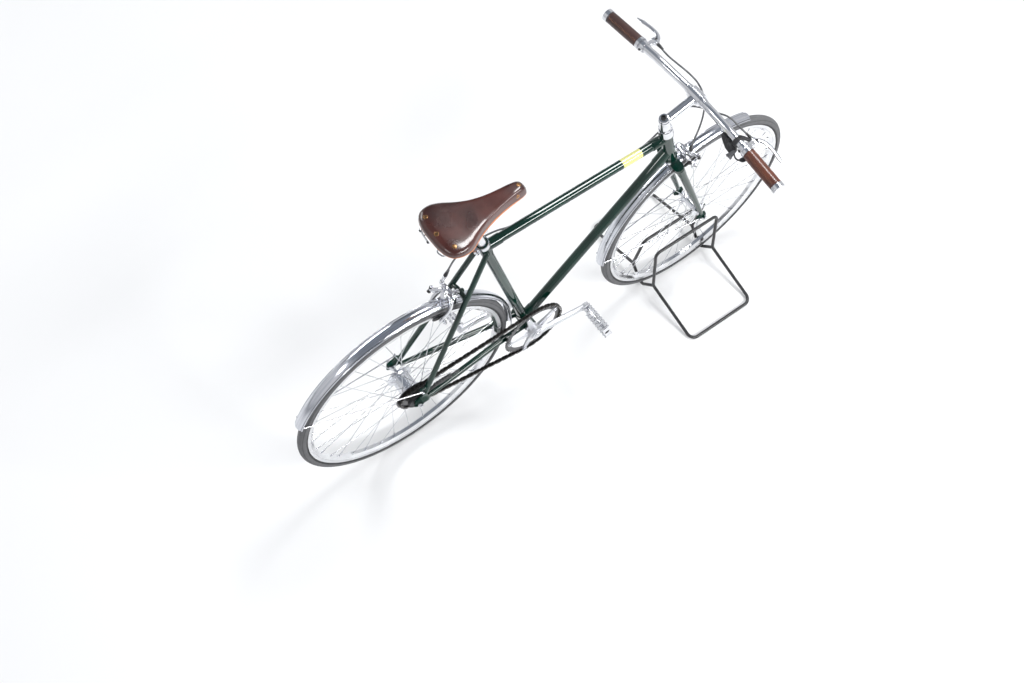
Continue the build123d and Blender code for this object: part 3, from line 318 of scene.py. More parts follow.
def swept(path, radius, sides):
    # rings square to a path, each turned as little as it can be from the one before
    way = unit(np.gradient(path, axis=0))
    first = crossAxes(way[0])[1]
    angle = np.linspace(0, 2 * np.pi, sides, endpoint=False)
    rings = []
    for point, along, reach in zip(path, way, np.broadcast_to(radius, len(path))):
        first = unit(first - along * first.dot(along))
        rings.append(point + reach * around(angle, first, np.cross(along, first)))
    return solidGrid(np.array(rings))


def ovalSwept(path, wide, thick, upright, sides=20, power=2.6):
    # superellipse rings along a path, wide across it and thick along the upright direction
    path = np.array(path, float)
    way = unit(np.gradient(path, axis=0))
    up = unit(np.array(upright, float) - way * (way @ np.array(upright, float))[:, None])
    angle = np.linspace(0, 2 * np.pi, sides, endpoint=False)
    across, above = (np.sign(share) * np.abs(share) ** (2 / power) for share in (np.cos(angle), np.sin(angle)))
    wide, thick = (np.broadcast_to(size, len(path))[:, None] for size in (wide, thick))
    return solidGrid(path[:, None] + np.cross(way, up)[:, None] * (wide * across)[..., None]
                     + up[:, None] * (thick * above)[..., None])


def spline(points, steps, closed=False):
    # points read from a NURBS line of order 3 with these control points
    curve = bpy.data.curves.new("route", "CURVE")
    curve.dimensions = "3D"
    curve.resolution_u = steps
    line = curve.splines.new("NURBS")
    line.points.add(len(points) - 1)
    for target, point in zip(line.points, points):
        target.co = (*point, 1.0)
    line.order_u = 3
    line.use_endpoint_u = not closed
    line.use_cyclic_u = closed
    holder = bpy.data.objects.new("route", curve)
    mesh = bpy.data.meshes.new_from_object(holder)
    read = np.array([vertex.co for vertex in mesh.vertices])
    bpy.data.objects.remove(holder)
    bpy.data.curves.remove(curve)
    bpy.data.meshes.remove(mesh)
    return read


def evenSteps(loop, count, shift=0.0):
    # points at equal distances along a closed line
    closed = np.concatenate((loop, loop[:1]))
    run = np.concatenate(([0.0], np.cumsum(np.linalg.norm(np.diff(closed, axis=0), axis=1))))
    at = (np.linspace(0, run[-1], count, endpoint=False) + shift) % run[-1]
    return np.stack([np.interp(at, run, closed[:, k]) for k in (0, 1)], -1)


def addPiece(name, shape, materials, body=None, faceMaterial=None, sharp=35.0):
    # a mesh object at the origin, in metres, with its faces turned outwards
    points, faces = shape
    mesh = bpy.data.meshes.new(name)
    mesh.from_pydata((points / 1000).tolist(), [], faces)
    for material in materials:
        mesh.materials.append(material)
    if faceMaterial is not None:
        mesh.polygons.foreach_set("material_index", np.asarray(faceMaterial, np.int32))
    work = bmesh.new()
    work.from_mesh(mesh)
    bmesh.ops.recalc_face_normals(work, faces=work.faces)
    work.to_mesh(mesh)
    work.free()
    mesh.shade_smooth()
    mesh.set_sharp_from_angle(angle=math.radians(sharp))
    piece = bpy.data.objects.new(name, mesh)
    bpy.context.scene.collection.objects.link(piece)
    if body:
        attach(piece, body)
    return piece


# finishes, whose patterns are in metres
wheelLook = {
    "axleX": {"front": 0.515, "rear": -0.515},
    "axleZ": 0.34,
    "track": (0.3045, 0.3155),  # brake track's radii
    "trackRidges": 0.0005,
    "groove": 0.3062,
    # painted shade in the rim's groove
    "grooveShadeColour": (0.12, 0.12, 0.125),
    # painted shade along the mudguard's folded edge
    "foldShadeColour": (0.12, 0.12, 0.13),
    "drawnColour": (0.40, 0.41, 0.46),
    "hubRings": (0.0007, 0.0006),  # steps of the turning marks across and around
    "rubber": (0.080, 0.081, 0.084),
    "dust": (0.185, 0.186, 0.190),
    "side": (0.095, 0.096, 0.100),
    # painted shade in the tread's cuts
    "cutShadeColour": (0.012, 0.012, 0.013),
    # painted shade at the bead beside the rim, also the colour of a thin dark line near the tread's edge
    "beadShadeAndLineColour": (0.020, 0.020, 0.021),
    "treadHalf": 0.0095,
    "treadFrom": (0.331, 0.334),  # radii between which the tread fades in
    "treadCount": 330,
    "treadSlant": 900.0,
    "cutEdge": (0.82, 0.97),
    "centreRib": (0.0022, 0.0014),
    "sideRibs": 0.0016,
    "bead": (0.3225, 0.3205),
    # radius of a thin dark line near the tread's edge
    "shoulderLine": 0.3325,
    "fold": (0.0138, 0.0144),  # folded line's distances from a mudguard's middle
    "foldFade": 0.0006,
}


def aboutAxle(finish, end):
    # distance from a wheel's axle, distance across and turn about it, from object coordinates
    x, y, z = finish.axes()
    ahead, above = x - wheelLook["axleX"][end], z - wheelLook["axleZ"]
    return (ahead * ahead + above * above).root(), y, above.maths("ARCTAN2", ahead)


def ripples(wire, step):
    # a sine that repeats at each step
    return (wire * (2 * math.pi / step)).wave()


def darker(colour, share):
    return tuple(part * share for part in colour)


paintLook = {
    "deep": (0.0006, 0.0135, 0.0088),
    "light": (0.0014, 0.0260, 0.0168),
    "band": (0.60, 0.59, 0.22),
    "bandX": (0.174, 0.237),
    "bandEdge": 0.0004,
    "clamped": (0.036, 0.024),  # from the axles, where the gloss fades
    "peel": 0.00002,
}


def framePaint(name, band=False):
    # green paint under a clear coat, dull where it is clamped about the axles
    look = paintLook
    paint = Finish(name)
    colour = paint.mix(paint.noise(7.0, 3.0).ramp(0.35, 0.7), look["deep"], look["light"])
    if band:
        x = paint.axes()[0]
        (rear, front), edge = look["bandX"], look["bandEdge"]
        colour = paint.mix(x.ramp(rear - edge, rear) * x.ramp(front + edge, front), colour, look["band"])
    gloss = 1.0
    for end in wheelLook["axleX"]:
        gloss = gloss - aboutAxle(paint, end)[0].ramp(*look["clamped"]) * 0.75
    return paint.paint(baseColor=colour, roughness=0.30 + paint.noise(30.0, 2.0) * 0.10, specularIORLevel=0.0,
                       coatWeight=gloss, coatRoughness=0.03, coatIOR=1.55,
                       bump=(paint.noise(420.0, 1.0), look["peel"], 0.3))


metalLooks = {
    "polished": {"colour": (0.76, 0.765, 0.79), "dull": (0.58, 0.59, 0.62), "smooth": 0.10, "rough": 0.20},
    "chrome": {"colour": (0.70, 0.705, 0.73), "dull": (0.55, 0.56, 0.59), "smooth": 0.06, "rough": 0.14},
    "crank": {"colour": (0.72, 0.725, 0.75), "dull": (0.60, 0.605, 0.64), "smooth": 0.34, "rough": 0.44},
    "dark": {"colour": (0.40, 0.405, 0.42), "dull": (0.24, 0.245, 0.26), "smooth": 0.12, "rough": 0.26},
    "satin": {"colour": (0.78, 0.785, 0.80), "dull": (0.64, 0.65, 0.67), "smooth": 0.30, "rough": 0.42},
    "rim": {"colour": (0.80, 0.805, 0.82), "dull": (0.66, 0.67, 0.69), "smooth": 0.10, "rough": 0.18},
    "guard": {"colour": (0.72, 0.73, 0.77), "dull": (0.52, 0.535, 0.58), "smooth": 0.10, "rough": 0.18},
    "hub": {"colour": (0.78, 0.79, 0.82), "dull": (0.58, 0.60, 0.66), "smooth": 0.13, "rough": 0.25},
    "pedal": {"colour": (0.74, 0.745, 0.77), "dull": (0.50, 0.51, 0.54), "smooth": 0.18, "rough": 0.30},
}


def smudged(finish, key, scale, detail, low=0.35, high=0.75, share=0.5):
    # a bright metal's colour and roughness, duller where a soft noise is high
    look = metalLooks[key]
    smudge = finish.noise(scale, detail).ramp(low, high)
    colour = finish.mix(smudge * share, look["colour"], look["dull"])
    return colour, look["smooth"] + smudge * (look["rough"] - look["smooth"])


def metal(name, key):
    # smudges and fine scratches
    finish = Finish(name)
    scratch = finish.noise(900.0, 2.0)
    colour, roughness = smudged(finish, key, 28.0, 4.0)
    return finish.paint(baseColor=colour, metallic=1.0, roughness=roughness + scratch * 0.03,
                        bump=(scratch, 0.000006, 0.5))


def rimMetal(end):
    # fine ridges and a groove round the brake track, with painted shade in the groove
    look = wheelLook
    finish = Finish(end + "_rim_alloy")
    radius = aboutAxle(finish, end)[0]
    low, high = look["track"]
    onTrack = radius.ramp(low - 0.0003, low) * radius.ramp(high + 0.0003, high)
    groove = abs(radius - look["groove"]).ramp(0.00035, 0.0002)
    colour, roughness = smudged(finish, "rim", 24.0, 3.0, 0.3, share=0.6)
    height = ripples(radius, look["trackRidges"]) * onTrack - groove * 3.0
    # painted shade darkens the groove that the bump sinks
    return finish.paint(baseColor=finish.mix(groove * 0.85, colour, look["grooveShadeColour"]), metallic=1.0,
                        roughness=roughness + onTrack * 0.16, bump=(height, 0.00003, 0.5))


def tyreRubber(end):
    # dusty tread with fine cuts and ribbed sides, painted shade in the cuts and at the bead beside the rim, and a thin
    # dark line near the tread's edge
    look = wheelLook
    finish = Finish(end + "_tyre_rubber")
    radius, across, turn = aboutAxle(finish, end)
    span, slant, count = abs(across), across * look["treadSlant"], turn * look["treadCount"]
    # two sets of slanting cuts make small diamonds: sin(turn * count + slant) and sin(turn * count - slant)
    tread = span.ramp(look["treadHalf"] + 0.0004, look["treadHalf"]) * radius.ramp(*look["treadFrom"])
    cuts = (count + slant).wave().most((count - slant).wave()).ramp(*look["cutEdge"]) * tread
    cuts = cuts * (1.0 - span.ramp(*look["centreRib"]))
    worn = finish.noise(60.0, 4.0).ramp(0.3, 0.8)
    colour = finish.mix(tread, look["side"], look["rubber"])
    colour = finish.mix(tread * (0.35 + worn * 0.5), colour, look["dust"])
    # painted shade in the cuts, which the bump also sinks
    colour = finish.mix(cuts * 0.8, colour, look["cutShadeColour"])
    # a thin dark line near the tread's edge, and painted shade at the bead where the tyre meets the rim
    line = abs(radius - look["shoulderLine"]).ramp(0.0012, 0.0004)
    bead = radius.ramp(*look["bead"]) + line * (1.0 - tread) * 0.7
    colour = finish.mix(bead.least(1.0), colour, look["beadShadeAndLineColour"])
    height = ripples(radius, look["sideRibs"]) * (1.0 - tread) * 0.25 - cuts + finish.noise(1400.0, 2.0) * 0.25
    return finish.paint(baseColor=colour, roughness=0.62 + worn * 0.2, bump=(height, 0.00025, 0.6))


def guardMetal(end):
    # polished sheet with long rolled lines, and painted shade in a line where the edge is folded in
    look = wheelLook
    finish = Finish(end + "_guard_alloy")
    radius, across, turn = aboutAxle(finish, end)
    drawn = []
    for width, run in ((340.0, 1.1), (1300.0, 2.6)):
        place = finish.node("CombineXYZ", inputs={0: across * width, 1: turn * run, 2: radius * width * 0.5})
        drawn.append(finish.noise(1.0, 2.0, place))
    span = abs(across)
    (inner, outer), fade = look["fold"], look["foldFade"]
    fold = span.ramp(inner - fade, inner) * span.ramp(outer + fade, outer)
    colour, roughness = smudged(finish, "guard", 14.0, 4.0, share=0.6)
    colour = finish.mix(drawn[0].ramp(0.35, 0.65) * 0.35, colour, look["drawnColour"])
    height = drawn[0] + drawn[1] * 0.18 - fold * 0.6
    # painted shade in the line of the folded edge
    return finish.paint(baseColor=finish.mix(fold * 0.8, colour, look["foldShadeColour"]), metallic=1.0,
                        roughness=roughness + drawn[1] * 0.06, bump=(height, 0.00035, 0.6))


def hubMetal(end):
    # turned alloy: fine rings round the axle
    finish = Finish(end + "_hub_alloy")
    radius, across, _ = aboutAxle(finish, end)
    rings = ripples(across, wheelLook["hubRings"][0]) + ripples(radius, wheelLook["hubRings"][1])
    colour, roughness = smudged(finish, "hub", 45.0, 3.0, 0.3, share=0.6)
    return finish.paint(baseColor=colour, metallic=1.0, roughness=roughness, bump=(rings, 0.000012, 0.5))


def blackFinish(name, colour, worn, roughness, grain, metallic=0.0, coat=0.0):
    # dark surface, paler where it is worn, with a fine grain
    finish = Finish(name)
    wear = finish.noise(40.0, 4.0).ramp(0.45, 0.8)
    return finish.paint(baseColor=finish.mix(wear, colour, worn), roughness=roughness + wear * 0.12,
                        metallic=metallic, coatWeight=coat, coatRoughness=0.12,
                        bump=(finish.noise(grain, 3.0), 0.00005, 0.5))


polished, chrome = metal("polished_alloy", "polished"), metal("chromed_steel", "chrome")
satin, darkSteel = metal("satin_alloy", "satin"), metal("dark_steel", "dark")
crankAlloy = metal("crank_alloy", "crank")
blackRubber = blackFinish("black_rubber", (0.016, 0.016, 0.017), (0.045, 0.045, 0.047), 0.62, 900.0)
blackPlastic = blackFinish("black_plastic", (0.010, 0.010, 0.012), (0.020, 0.020, 0.023), 0.46, 1600.0)
blackSteel = blackFinish("black_steel", (0.010, 0.010, 0.011), (0.032, 0.032, 0.034), 0.34, 700.0, 0.2, 0.4)
powderCoat = blackFinish("powder_coat", (0.010, 0.010, 0.011), (0.020, 0.020, 0.022), 0.40, 1100.0, coat=0.25)
greyPlastic = blackFinish("grey_plastic", (0.055, 0.056, 0.060), (0.085, 0.086, 0.092), 0.36, 1500.0)

finishes = {
    "top_tube": framePaint("frame_paint_band", band=True),
    "display_stand": powderCoat,
    "crank_left": crankAlloy,
    "crank_right": crankAlloy,
}
wheelMakers = {"tyre": tyreRubber, "rim": rimMetal, "mudguard": guardMetal, "hub": hubMetal}
for end in wheelLook["axleX"]:
    for part, maker in wheelMakers.items():
        finishes[f"{end}_{part}"] = maker(end)
bySlot = {
    "frame_paint": framePaint("frame_paint"),
    "silver": polished,
    "steel": chrome,
    "tyre_rubber": blackRubber,
    "black_rubber": blackRubber,
    "black_plastic": blackPlastic,
    "black_steel": blackSteel,
    "saddle_leather": blackPlastic,
    "grip_leather": blackPlastic,
    "hub_alloy": satin,
    "cable_grey": greyPlastic,
}
for name, node in nodes.items():
    for place in node.material_slots:
        place.material = finishes.get(name) or bySlot[place.material.name.split(".")[0]]
report("frame finished")

# places shared by several pieces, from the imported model's sizes
steerUp = np.array((-0.284015, 0.0, 0.958820))
steerAhead = np.array((0.958820, 0.0, 0.284015))
left = np.array((0.0, 1.0, 0.0))
barCentre = np.array((403.75, 0.0, 923.60))
barBend, barEnd = (-11.0, 138.0, 11.0), (-22.5, 335.0, 5.0)  # of the left straight, from the bar's centre
crankAxle = (-108, 290)
crankEnds = {1: (-277.896, 295.933), -1: (61.896, 284.067)}  # left and right


def onBar(side, along):
    # a point on the bar's outer straight and the way outwards along it
    bend, end = (barCentre + np.array(place) * (1, side, 1) for place in (barBend, barEnd))
    return bend + unit(end - bend) * along, unit(end - bend)


def aboutWheel(axle, radius, degrees, across):
    # points at a radius and at some turns about an axle
    turn = np.radians(degrees)
    return np.stack((axle[0] + radius * np.cos(turn), across + 0 * turn, axle[1] + radius * np.sin(turn)), -1)


def hexBolt(origin, along, radius, height, socket):
    # a cap screw with a rounded rim and a six-sided socket
    rim = min(radius, height) * 0.28
    return turned(origin, along, [(0, radius), (height - rim, radius), (height - rim * 0.3, radius - rim * 0.3),
                                  (height, radius - rim), (height, socket * 1.12, 6), (height * 0.35, socket, 6),
                                  (height * 0.3, socket * 0.1, 6)])


# saddle
saddleLook = {
    "outline": ((-143, 0), (-144, 9), (-149, 15.5), (-160, 19), (-180, 20.5), (-205, 22.5), (-230, 26), (-256, 32),
                (-280, 39.5), (-302, 49), (-322, 60), (-341, 71.5), (-356, 76.5), (-372, 78.5), (-388, 76),
                (-401, 69), (-409.5, 54), (-413.5, 36), (-415, 18), (-415, 0)),
    "spine": (-322, -168),  # middle line that the dome falls away from
    "topX": (-413, -405, -395, -370, -340, -310, -280, -247, -215, -185, -163, -152, -143),
    "topZ": (1005.5, 1007.5, 1007.8, 1004, 999.5, 996.5, 994.5, 995, 998.5, 1001, 1000.5, 997, 991),
    "lowX": (-413, -404, -388, -366, -341, -300, -255, -200, -143),
    "lowZ": (985, 985, 983.5, 980, 970, 963, 962.5, 966, 970),
    "squareX": (-415, -350, -300, -250, -200, -165, -143),
    "square": (4.4, 6.5, 11.0, 12.0, 7.5, 4.4, 3.2),
    "flare": 2.2,
    "thickness": 4.2,
    "skirt": (0.35, 0.65, 0.62),  # loops added down the lowest row; the raw edge is below the last
    "around": 168,
    "loops": 44,
    "colour": (0.088, 0.0175, 0.0105),
    "deep": (0.030, 0.0072, 0.0052),
    "raw": (0.56, 0.19, 0.06),
    "inside": (0.25, 0.12, 0.06),
    "grain": 1050.0,
}


def leather(name, colour, deep, grain, gloss, coat, other=None, wrap=0.0):
    # dyed leather: pores between cells, creases in the bump and the roughness, and a wax shine
    finish = Finish(name)
    pores = finish.cells(grain, "DISTANCE_TO_EDGE").ramp(0.0, 0.35)
    crease = finish.noise(26.0, 6.0).ramp(0.42, 0.60)
    blotch = finish.noise(11.0, 3.0).ramp(0.30, 0.72)
    shade = finish.mix(blotch, deep, colour)
    across = finish.axes()[1]
    if other:  # the left side's colour; for the grips, a painted shade of the right one's leather
        shade = finish.mix(across.ramp(-0.02, 0.02), shade, finish.mix(blotch, darker(other, 0.4), other))
    shade = finish.mix((1.0 - pores) * 0.35, shade, darker(deep, 0.35))
    height = pores * 0.55 + crease * 0.5 + finish.noise(grain * 2.6, 2.0) * 0.25
    if wrap:
        turns = ripples(across, wrap).ramp(-0.2, 0.9)
        shade = finish.mix(turns * 0.65, shade, darker(deep, 0.45))
        height = height - turns * 1.2
    return finish.paint(baseColor=shade, roughness=gloss + blotch * 0.12 - crease * 0.04, coatWeight=coat,
                        coatRoughness=0.13, coatIOR=1.6, specularIORLevel=0.35,
                        bump=(height, 0.00012, 0.45))


def rawLeather(name, colour):
    # the cut edge and the flesh side: fibres, no shine
    finish = Finish(name)
    fibre = finish.noise(900.0, 4.0)
    shade = finish.mix(finish.noise(60.0, 3.0).ramp(0.35, 0.7) * 0.6, colour, darker(colour, 0.55))
    return finish.paint(baseColor=shade, roughness=0.75 + fibre * 0.1, bump=(fibre, 0.0003, 0.6))


def saddleSkin():
    # the upper surface, as closed loops from the middle line down to the edge of the skirt
    look = saddleLook
    half = np.array(look["outline"], float)
    loop = np.concatenate((half, half[-2:0:-1] * (1, -1)))
    edge = evenSteps(spline(np.pad(loop, ((0, 0), (0, 1))), 16, closed=True)[:, :2], look["around"])
    middle = np.stack((np.clip(edge[:, 0], *look["spine"]), np.zeros(len(edge))), -1)
    reach = edge - middle
    low = np.interp(edge[:, 0], look["lowX"], look["lowZ"])
    power = np.interp(edge[:, 0], look["squareX"], look["square"])
    turn = np.linspace(0.0, np.pi / 2, look["loops"])[:, None]
    # superellipse from the middle line to the skirt: share out = sin^(2/n), share up = cos^(2/n)
    out, up = np.sin(turn) ** (2 / power), np.cos(turn) ** (2 / power)
    flare = 1.0 - look["flare"] * up / np.maximum(np.linalg.norm(reach, axis=1), 10)
    plan = middle + reach * (out * flare)[..., None]
    height = np.interp(plan[..., 0], look["topX"], look["topZ"]) * up + low * (1 - up)
    grid = np.concatenate((plan, height[..., None]), -1)
    share = np.array(look["skirt"])[:, None, None]
    return np.concatenate((grid[1:-1], grid[-2] + (grid[-1] - grid[-2]) * share, grid[-1:]))


def makeSaddle():
    # the skin, and under it the same grid moved inwards by the leather's thickness
    look = saddleLook
    skin = saddleSkin()
    # normals: the cross product of the steps down and around the grid
    normal = np.cross(np.gradient(skin, axis=0), np.roll(skin, -1, 1) - np.roll(skin, 1, 1))
    normal /= np.maximum(np.linalg.norm(normal, axis=2, keepdims=True), 1e-12)
    inner = skin - normal * look["thickness"]
    inner[-1, :, 2] = skin[-1, :, 2]
    shape = solidGrid(np.concatenate((skin, inner[::-1])))
    rows, columns = skin.shape[:2]
    row = np.arange(len(shape[1]) - 2) // columns
    which = np.select([row < rows - 2, row < rows], [0, 1], 2).tolist() + [0, 2]
    materials = [leather("saddle_leather", look["colour"], look["deep"], look["grain"], 0.26, 0.55),
                 rawLeather("saddle_edge", look["raw"]), rawLeather("saddle_underside", look["inside"])]
    piece = addPiece("saddle_leather_top", shape, materials, "frame", which, 50.0)
    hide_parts("saddle_cover")
    return skin, normal


rivetLook = {
    "places": ((-393, 48, 1005), (-400, -4, 1006), (-386, -54, 1004), (-162, 0, 1000), (-176, 19, 986),
               (-176, -19, 986)),
    "radius": 5.8,
    "rise": 1.0,
    "colour": (0.36, 0.20, 0.095),
    "dull": (0.17, 0.085, 0.038),
}


def makeRivets(skin, normal):
    # domed heads, each square to the leather under it
    look = rivetLook
    finish = Finish("rivet_copper")
    tarnish = finish.noise(160.0, 4.0).ramp(0.35, 0.7)
    hammered = finish.cells(700.0).ramp(0.0, 0.8)
    copper = finish.paint(baseColor=finish.mix(tarnish, look["colour"], look["dull"]), metallic=1.0,
                          roughness=0.22 + tarnish * 0.2, bump=(hammered, 0.0001, 0.5))
    upper = skin[: len(skin) * 9 // 10]
    dome = [(-1, look["radius"])] + [(look["rise"] * math.sin(turn), look["radius"] * math.cos(turn) + 0.2)
                                     for turn in np.linspace(0, np.pi / 2, 7)]
    parts = []
    for place in look["places"]:
        away = np.linalg.norm(upper - place, axis=2)
        at = np.unravel_index(away.argmin(), away.shape)
        parts.append(turned(upper[at], normal[at], dome, 20))
    addPiece("saddle_rivets", joined(parts), [copper], "frame")


loopLook = {
    "wire": 1.7,
    "route": ((-403, 25, 992), (-407, 25, 980), (-412, 25, 972), (-414, 29, 969), (-410, 43, 969), (-405, 47, 972),
              (-399, 47, 980), (-396, 46, 992)),
    "strip": (0.0, 46.0),
    "stripX": -417.2,
    "stripRound": 0.002,
    "stripHalf": 4.6,
    "stripZ": 974.2,
    "section": ((0.6, 1), (-0.8, 0.82), (-1.1, 0), (-0.8, -0.82), (0.6, -1)),  # forward, share of half the height
    "screwInset": 5.0,
    "screw": (3.2, 1.8, 1.6),
}


def makeBagLoops():
    look = loopLook
    parts = [swept(spline(np.array(look["route"]) * (1, side, 1), 8), look["wire"], 10) for side in (1, -1)]
    low, high = look["strip"]

    def followed(y):  # the round of the saddle's rear: x moves forward with the square of y
        return look["stripX"] + look["stripRound"] * y ** 2

    along = np.linspace(low, high, 24)[:, None]
    half = look["stripHalf"] * np.minimum(1.0, np.minimum(along - low, high - along) / 4 + 0.35)
    forward, share = np.array(look["section"]).T
    rings = np.broadcast_arrays(followed(along) + forward, along, look["stripZ"] + share * half)
    parts.append(solidGrid(np.stack(rings, -1)))
    addPiece("saddle_loops", joined(parts), [darkSteel], "frame")
    screws = [hexBolt((followed(y) - 1.0, y, look["stripZ"]), (-1, 0, 0), *look["screw"])
              for y in (low + look["screwInset"], high - look["screwInset"])]
    addPiece("saddle_loop_screws", joined(screws), [blackSteel], "frame")


skin, skinNormal = makeSaddle()
makeRivets(skin, skinNormal)
makeBagLoops()
report("saddle made")


# grips
gripLook = {
    "start": 77.0,
    "length": 110.0,
    "radius": 16.3,
    "bore": 11.18,
    "seam": (-0.75, 0.0, 0.66),  # side of the bar that the sewn seam faces
    "ease": (0.0, 0.4, 1.2, 2.6),  # rings of the rolled end
    "endFall": 2.2,
    "swell": 0.35,
    "ripple": 0.12,
    "lip": 0.45,
    "lipAt": 0.13,  # turn from the seam, and the widths of a lip and of the groove between
    "lipWide": 0.06,
    "grooveWide": 0.045,
    "stitchStep": 4.6,
    "stitchRise": (0.55, 0.45),  # at its ends and more in its middle
    "stitchLean": 1.1,
    "stitchTurn": 0.17,
    "thread": 0.48,
    "right": (0.27, 0.070, 0.026),
    # the left grip: the right one's leather, darker as painted shade
    "left": (0.055, 0.019, 0.015),
    "deep": (0.075, 0.019, 0.011),
    "threadColour": (0.20, 0.085, 0.045),
}


def makeGrips():
    # sleeves round the bar with rolled ends, a sewn seam and stitches arched over it
    look = gripLook
    wraps, stitches = [], []
    ease = np.array(look["ease"])
    for side in (1, -1):
        start, way = onBar(side, look["start"])
        seam = np.array(look["seam"])
        first = unit(seam - way * seam.dot(way))
        second = np.cross(way, first)
        along = np.concatenate((ease, np.linspace(5, look["length"] - 5, 40), look["length"] - ease[::-1]))
        ends = np.minimum(along, look["length"] - along)
        roll = -look["endFall"] * (1 - np.minimum(ends / ease[-1], 1)) ** 2
        swell = look["swell"] * np.sin(np.pi * along / look["length"]) + look["ripple"] * np.sin(along * 0.43)
        angle = np.linspace(0, 2 * np.pi, 96, endpoint=False)
        bend = (angle + np.pi) % (2 * np.pi) - np.pi
        # two raised lips with a groove between, drawn as bell curves of the turn from the seam
        lips = look["lip"] * (np.exp(-((np.abs(bend) - look["lipAt"]) / look["lipWide"]) ** 2)
                              - 1.1 * np.exp(-(bend / look["grooveWide"]) ** 2))
        radius = look["radius"] + (roll + swell)[:, None] + lips
        ring = around(angle, first, second)
        line = start + along[:, None, None] * way
        skin, bore = line + radius[..., None] * ring, line[[-1, 0]] + look["bore"] * ring
        wraps.append(solidGrid(np.concatenate((skin, bore))))
        lean = np.linspace(-1, 1, 7)
        low, more = look["stitchRise"]
        reach = look["radius"] + low + more * (1 - lean ** 2)
        arch = (lean[:, None] * look["stitchLean"] * way
                + reach[:, None] * around(lean * look["stitchTurn"], first, second))
        for step in np.arange(6, look["length"] - 4, look["stitchStep"]):
            stitches.append(swept(start + way * step + arch, look["thread"], 6))
    # the left grip's colour is a painted shade of the right one's
    wrap = leather("grip_leather", look["right"], look["deep"], 1300.0, 0.40, 0.40, look["left"],
                   look["stitchStep"] / 1000)
    piece = addPiece("grip_wraps", joined(wraps), [wrap], "fork", sharp=60.0)
    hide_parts("grips")
    thread = blackFinish("grip_thread", look["threadColour"], darker(look["threadColour"], 0.6), 0.7, 2500.0)
    addPiece("grip_stitches", joined(stitches), [thread], "fork")


makeGrips()
report("grips made")


# brake cables: control points from the lever to the barrel
cableLook = {
    "radius": 2.5,
    "front": ((427.1, 184.1, 928.3), (424.55, 146, 926), (428.05, 104, 928), (432.55, 62, 929), (435.55, 26, 922),
              (434.05, -3, 899), (424.55, -22, 862), (410.4, -31, 812.3), (398.4, -31.8, 771.3), (401.4, -31, 730.3)),
    "rear": ((427.1, -184.1, 928.3), (425.05, -142, 930), (427.05, -100, 929), (415.75, -62, 913.6),
             (408.75, -22, 897.6), (385.95, 8.7, 888.6), (356.75, 15.7, 856.6), (328.75, 26, 811.6),
             (257.2, 14.03, 802.9), (222.05, 14.03, 802.9), (46.28, 14.03, 802.9), (-129.48, 14.03, 802.9),
             (-164.64, 14.03, 802.9), (-212.64, 28.03, 805.9), (-288.8, 32, 800.6), (-324.8, 31, 778.6),
             (-342.8, 30.4, 750.6), (-354.8, 31, 723.6)),
    "shade": {"front": (0.075, 0.076, 0.080), "rear": (0.085, 0.086, 0.090)},
    "worn": 1.9,
}


def makeCable(name):
    # a round sleeve along its spline; the front one turns with the fork, and the rear one, which runs from the fork to
    # the frame, is fixed in place
    look = cableLook
    finish = Finish(name + "_cable_sleeve")
    wear = finish.noise(70.0, 3.0).ramp(0.4, 0.75)
    shade = look["shade"][name]
    sleeve = finish.paint(baseColor=finish.mix(wear, shade, darker(shade, look["worn"])), roughness=0.30 + wear * 0.15,
                          bump=(finish.noise(1800.0, 2.0), 0.00004, 0.5))
    line = swept(spline(look[name], 14), look["radius"], 14)
    piece = addPiece(name + "_brake_line", line, [sleeve])
    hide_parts(name + "_brake_cable")
    if name == "front":
        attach(piece, "fork")
    else:
        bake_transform(piece)


for name in ("front", "rear"):
    makeCable(name)
report("cables made")


# chain
chainLook = {
    "links": 100,
    "line": -45.0,
    "rear": (-515, 340, 44.62),  # axle's place and the sprocket's pitch radius
    "front": (-108, 290, 97.09),
    "shift": 3.5,
    "end": 5.0,  # half height of a plate at its rollers, and between them
    "waist": 4.2,
    "inner": (2.0, 3.2),  # where the plates lie either side of the chain line
    "outer": (3.4, 4.6),
    "bevel": 0.1,
    "roller": 4.3,
    "rollerLong": 1.5,
    "pin": 1.7,
    "pinOut": 0.4,
    "steel": (0.040, 0.038, 0.036),
    "pinSteel": (0.50, 0.49, 0.47),
    # dark of oil in random patches, also the painted shade between the inner plates
    "oil": (0.012, 0.011, 0.010),
}


def chainPlaces():
    # equal steps along two straight runs and two arcs round the sprockets
    (x1, z1, r1), (x2, z2, r2) = chainLook["rear"], chainLook["front"]
    base = math.atan2(z2 - z1, x2 - x1)
    spread = math.acos((r1 - r2) / math.hypot(x2 - x1, z2 - z1))
    front = np.linspace(base + spread, base - spread, 400)
    rear = np.linspace(base - spread, base + spread - 2 * np.pi, 400)
    loop = np.concatenate([np.stack((x + r * np.cos(arc), z + r * np.sin(arc)), -1)
                           for x, z, r, arc in ((x2, z2, r2, front), (x1, z1, r1, rear))])
    return evenSteps(loop, chainLook["links"], chainLook["shift"])


def scattered(template, origin, ahead, above):
    # copies of a shape drawn as (ahead, across, above), each turned to its own two directions
    shape, faces = template
    points = (origin[:, None] + shape[None, :, 0:1] * ahead[:, None] + shape[None, :, 2:3] * above[:, None]
              + shape[None, :, 1:2] * left)
    step = len(shape)
    return points.reshape(-1, 3), [[index + step * copy for index in face] for copy in range(len(origin))
                                   for face in faces]


def plateShape(pitch, low, high):
    # two round ends and a waist, as rings of 16 points between both faces
    look = chainLook
    turn = np.linspace(-np.pi / 2, np.pi / 2, 7)
    front = np.stack((pitch / 2 + look["end"] * 0.92 * np.cos(turn), look["end"] * np.sin(turn)), -1)
    outline = np.concatenate((front, [(0, look["waist"])], -front, [(0, -look["waist"])]))
    levels = ((low, 0.97), (low + look["bevel"], 1.0), (high - look["bevel"], 1.0), (high, 0.97))
    return solidGrid(np.array([np.insert(outline * size, 1, y, axis=1) for y, size in levels]))


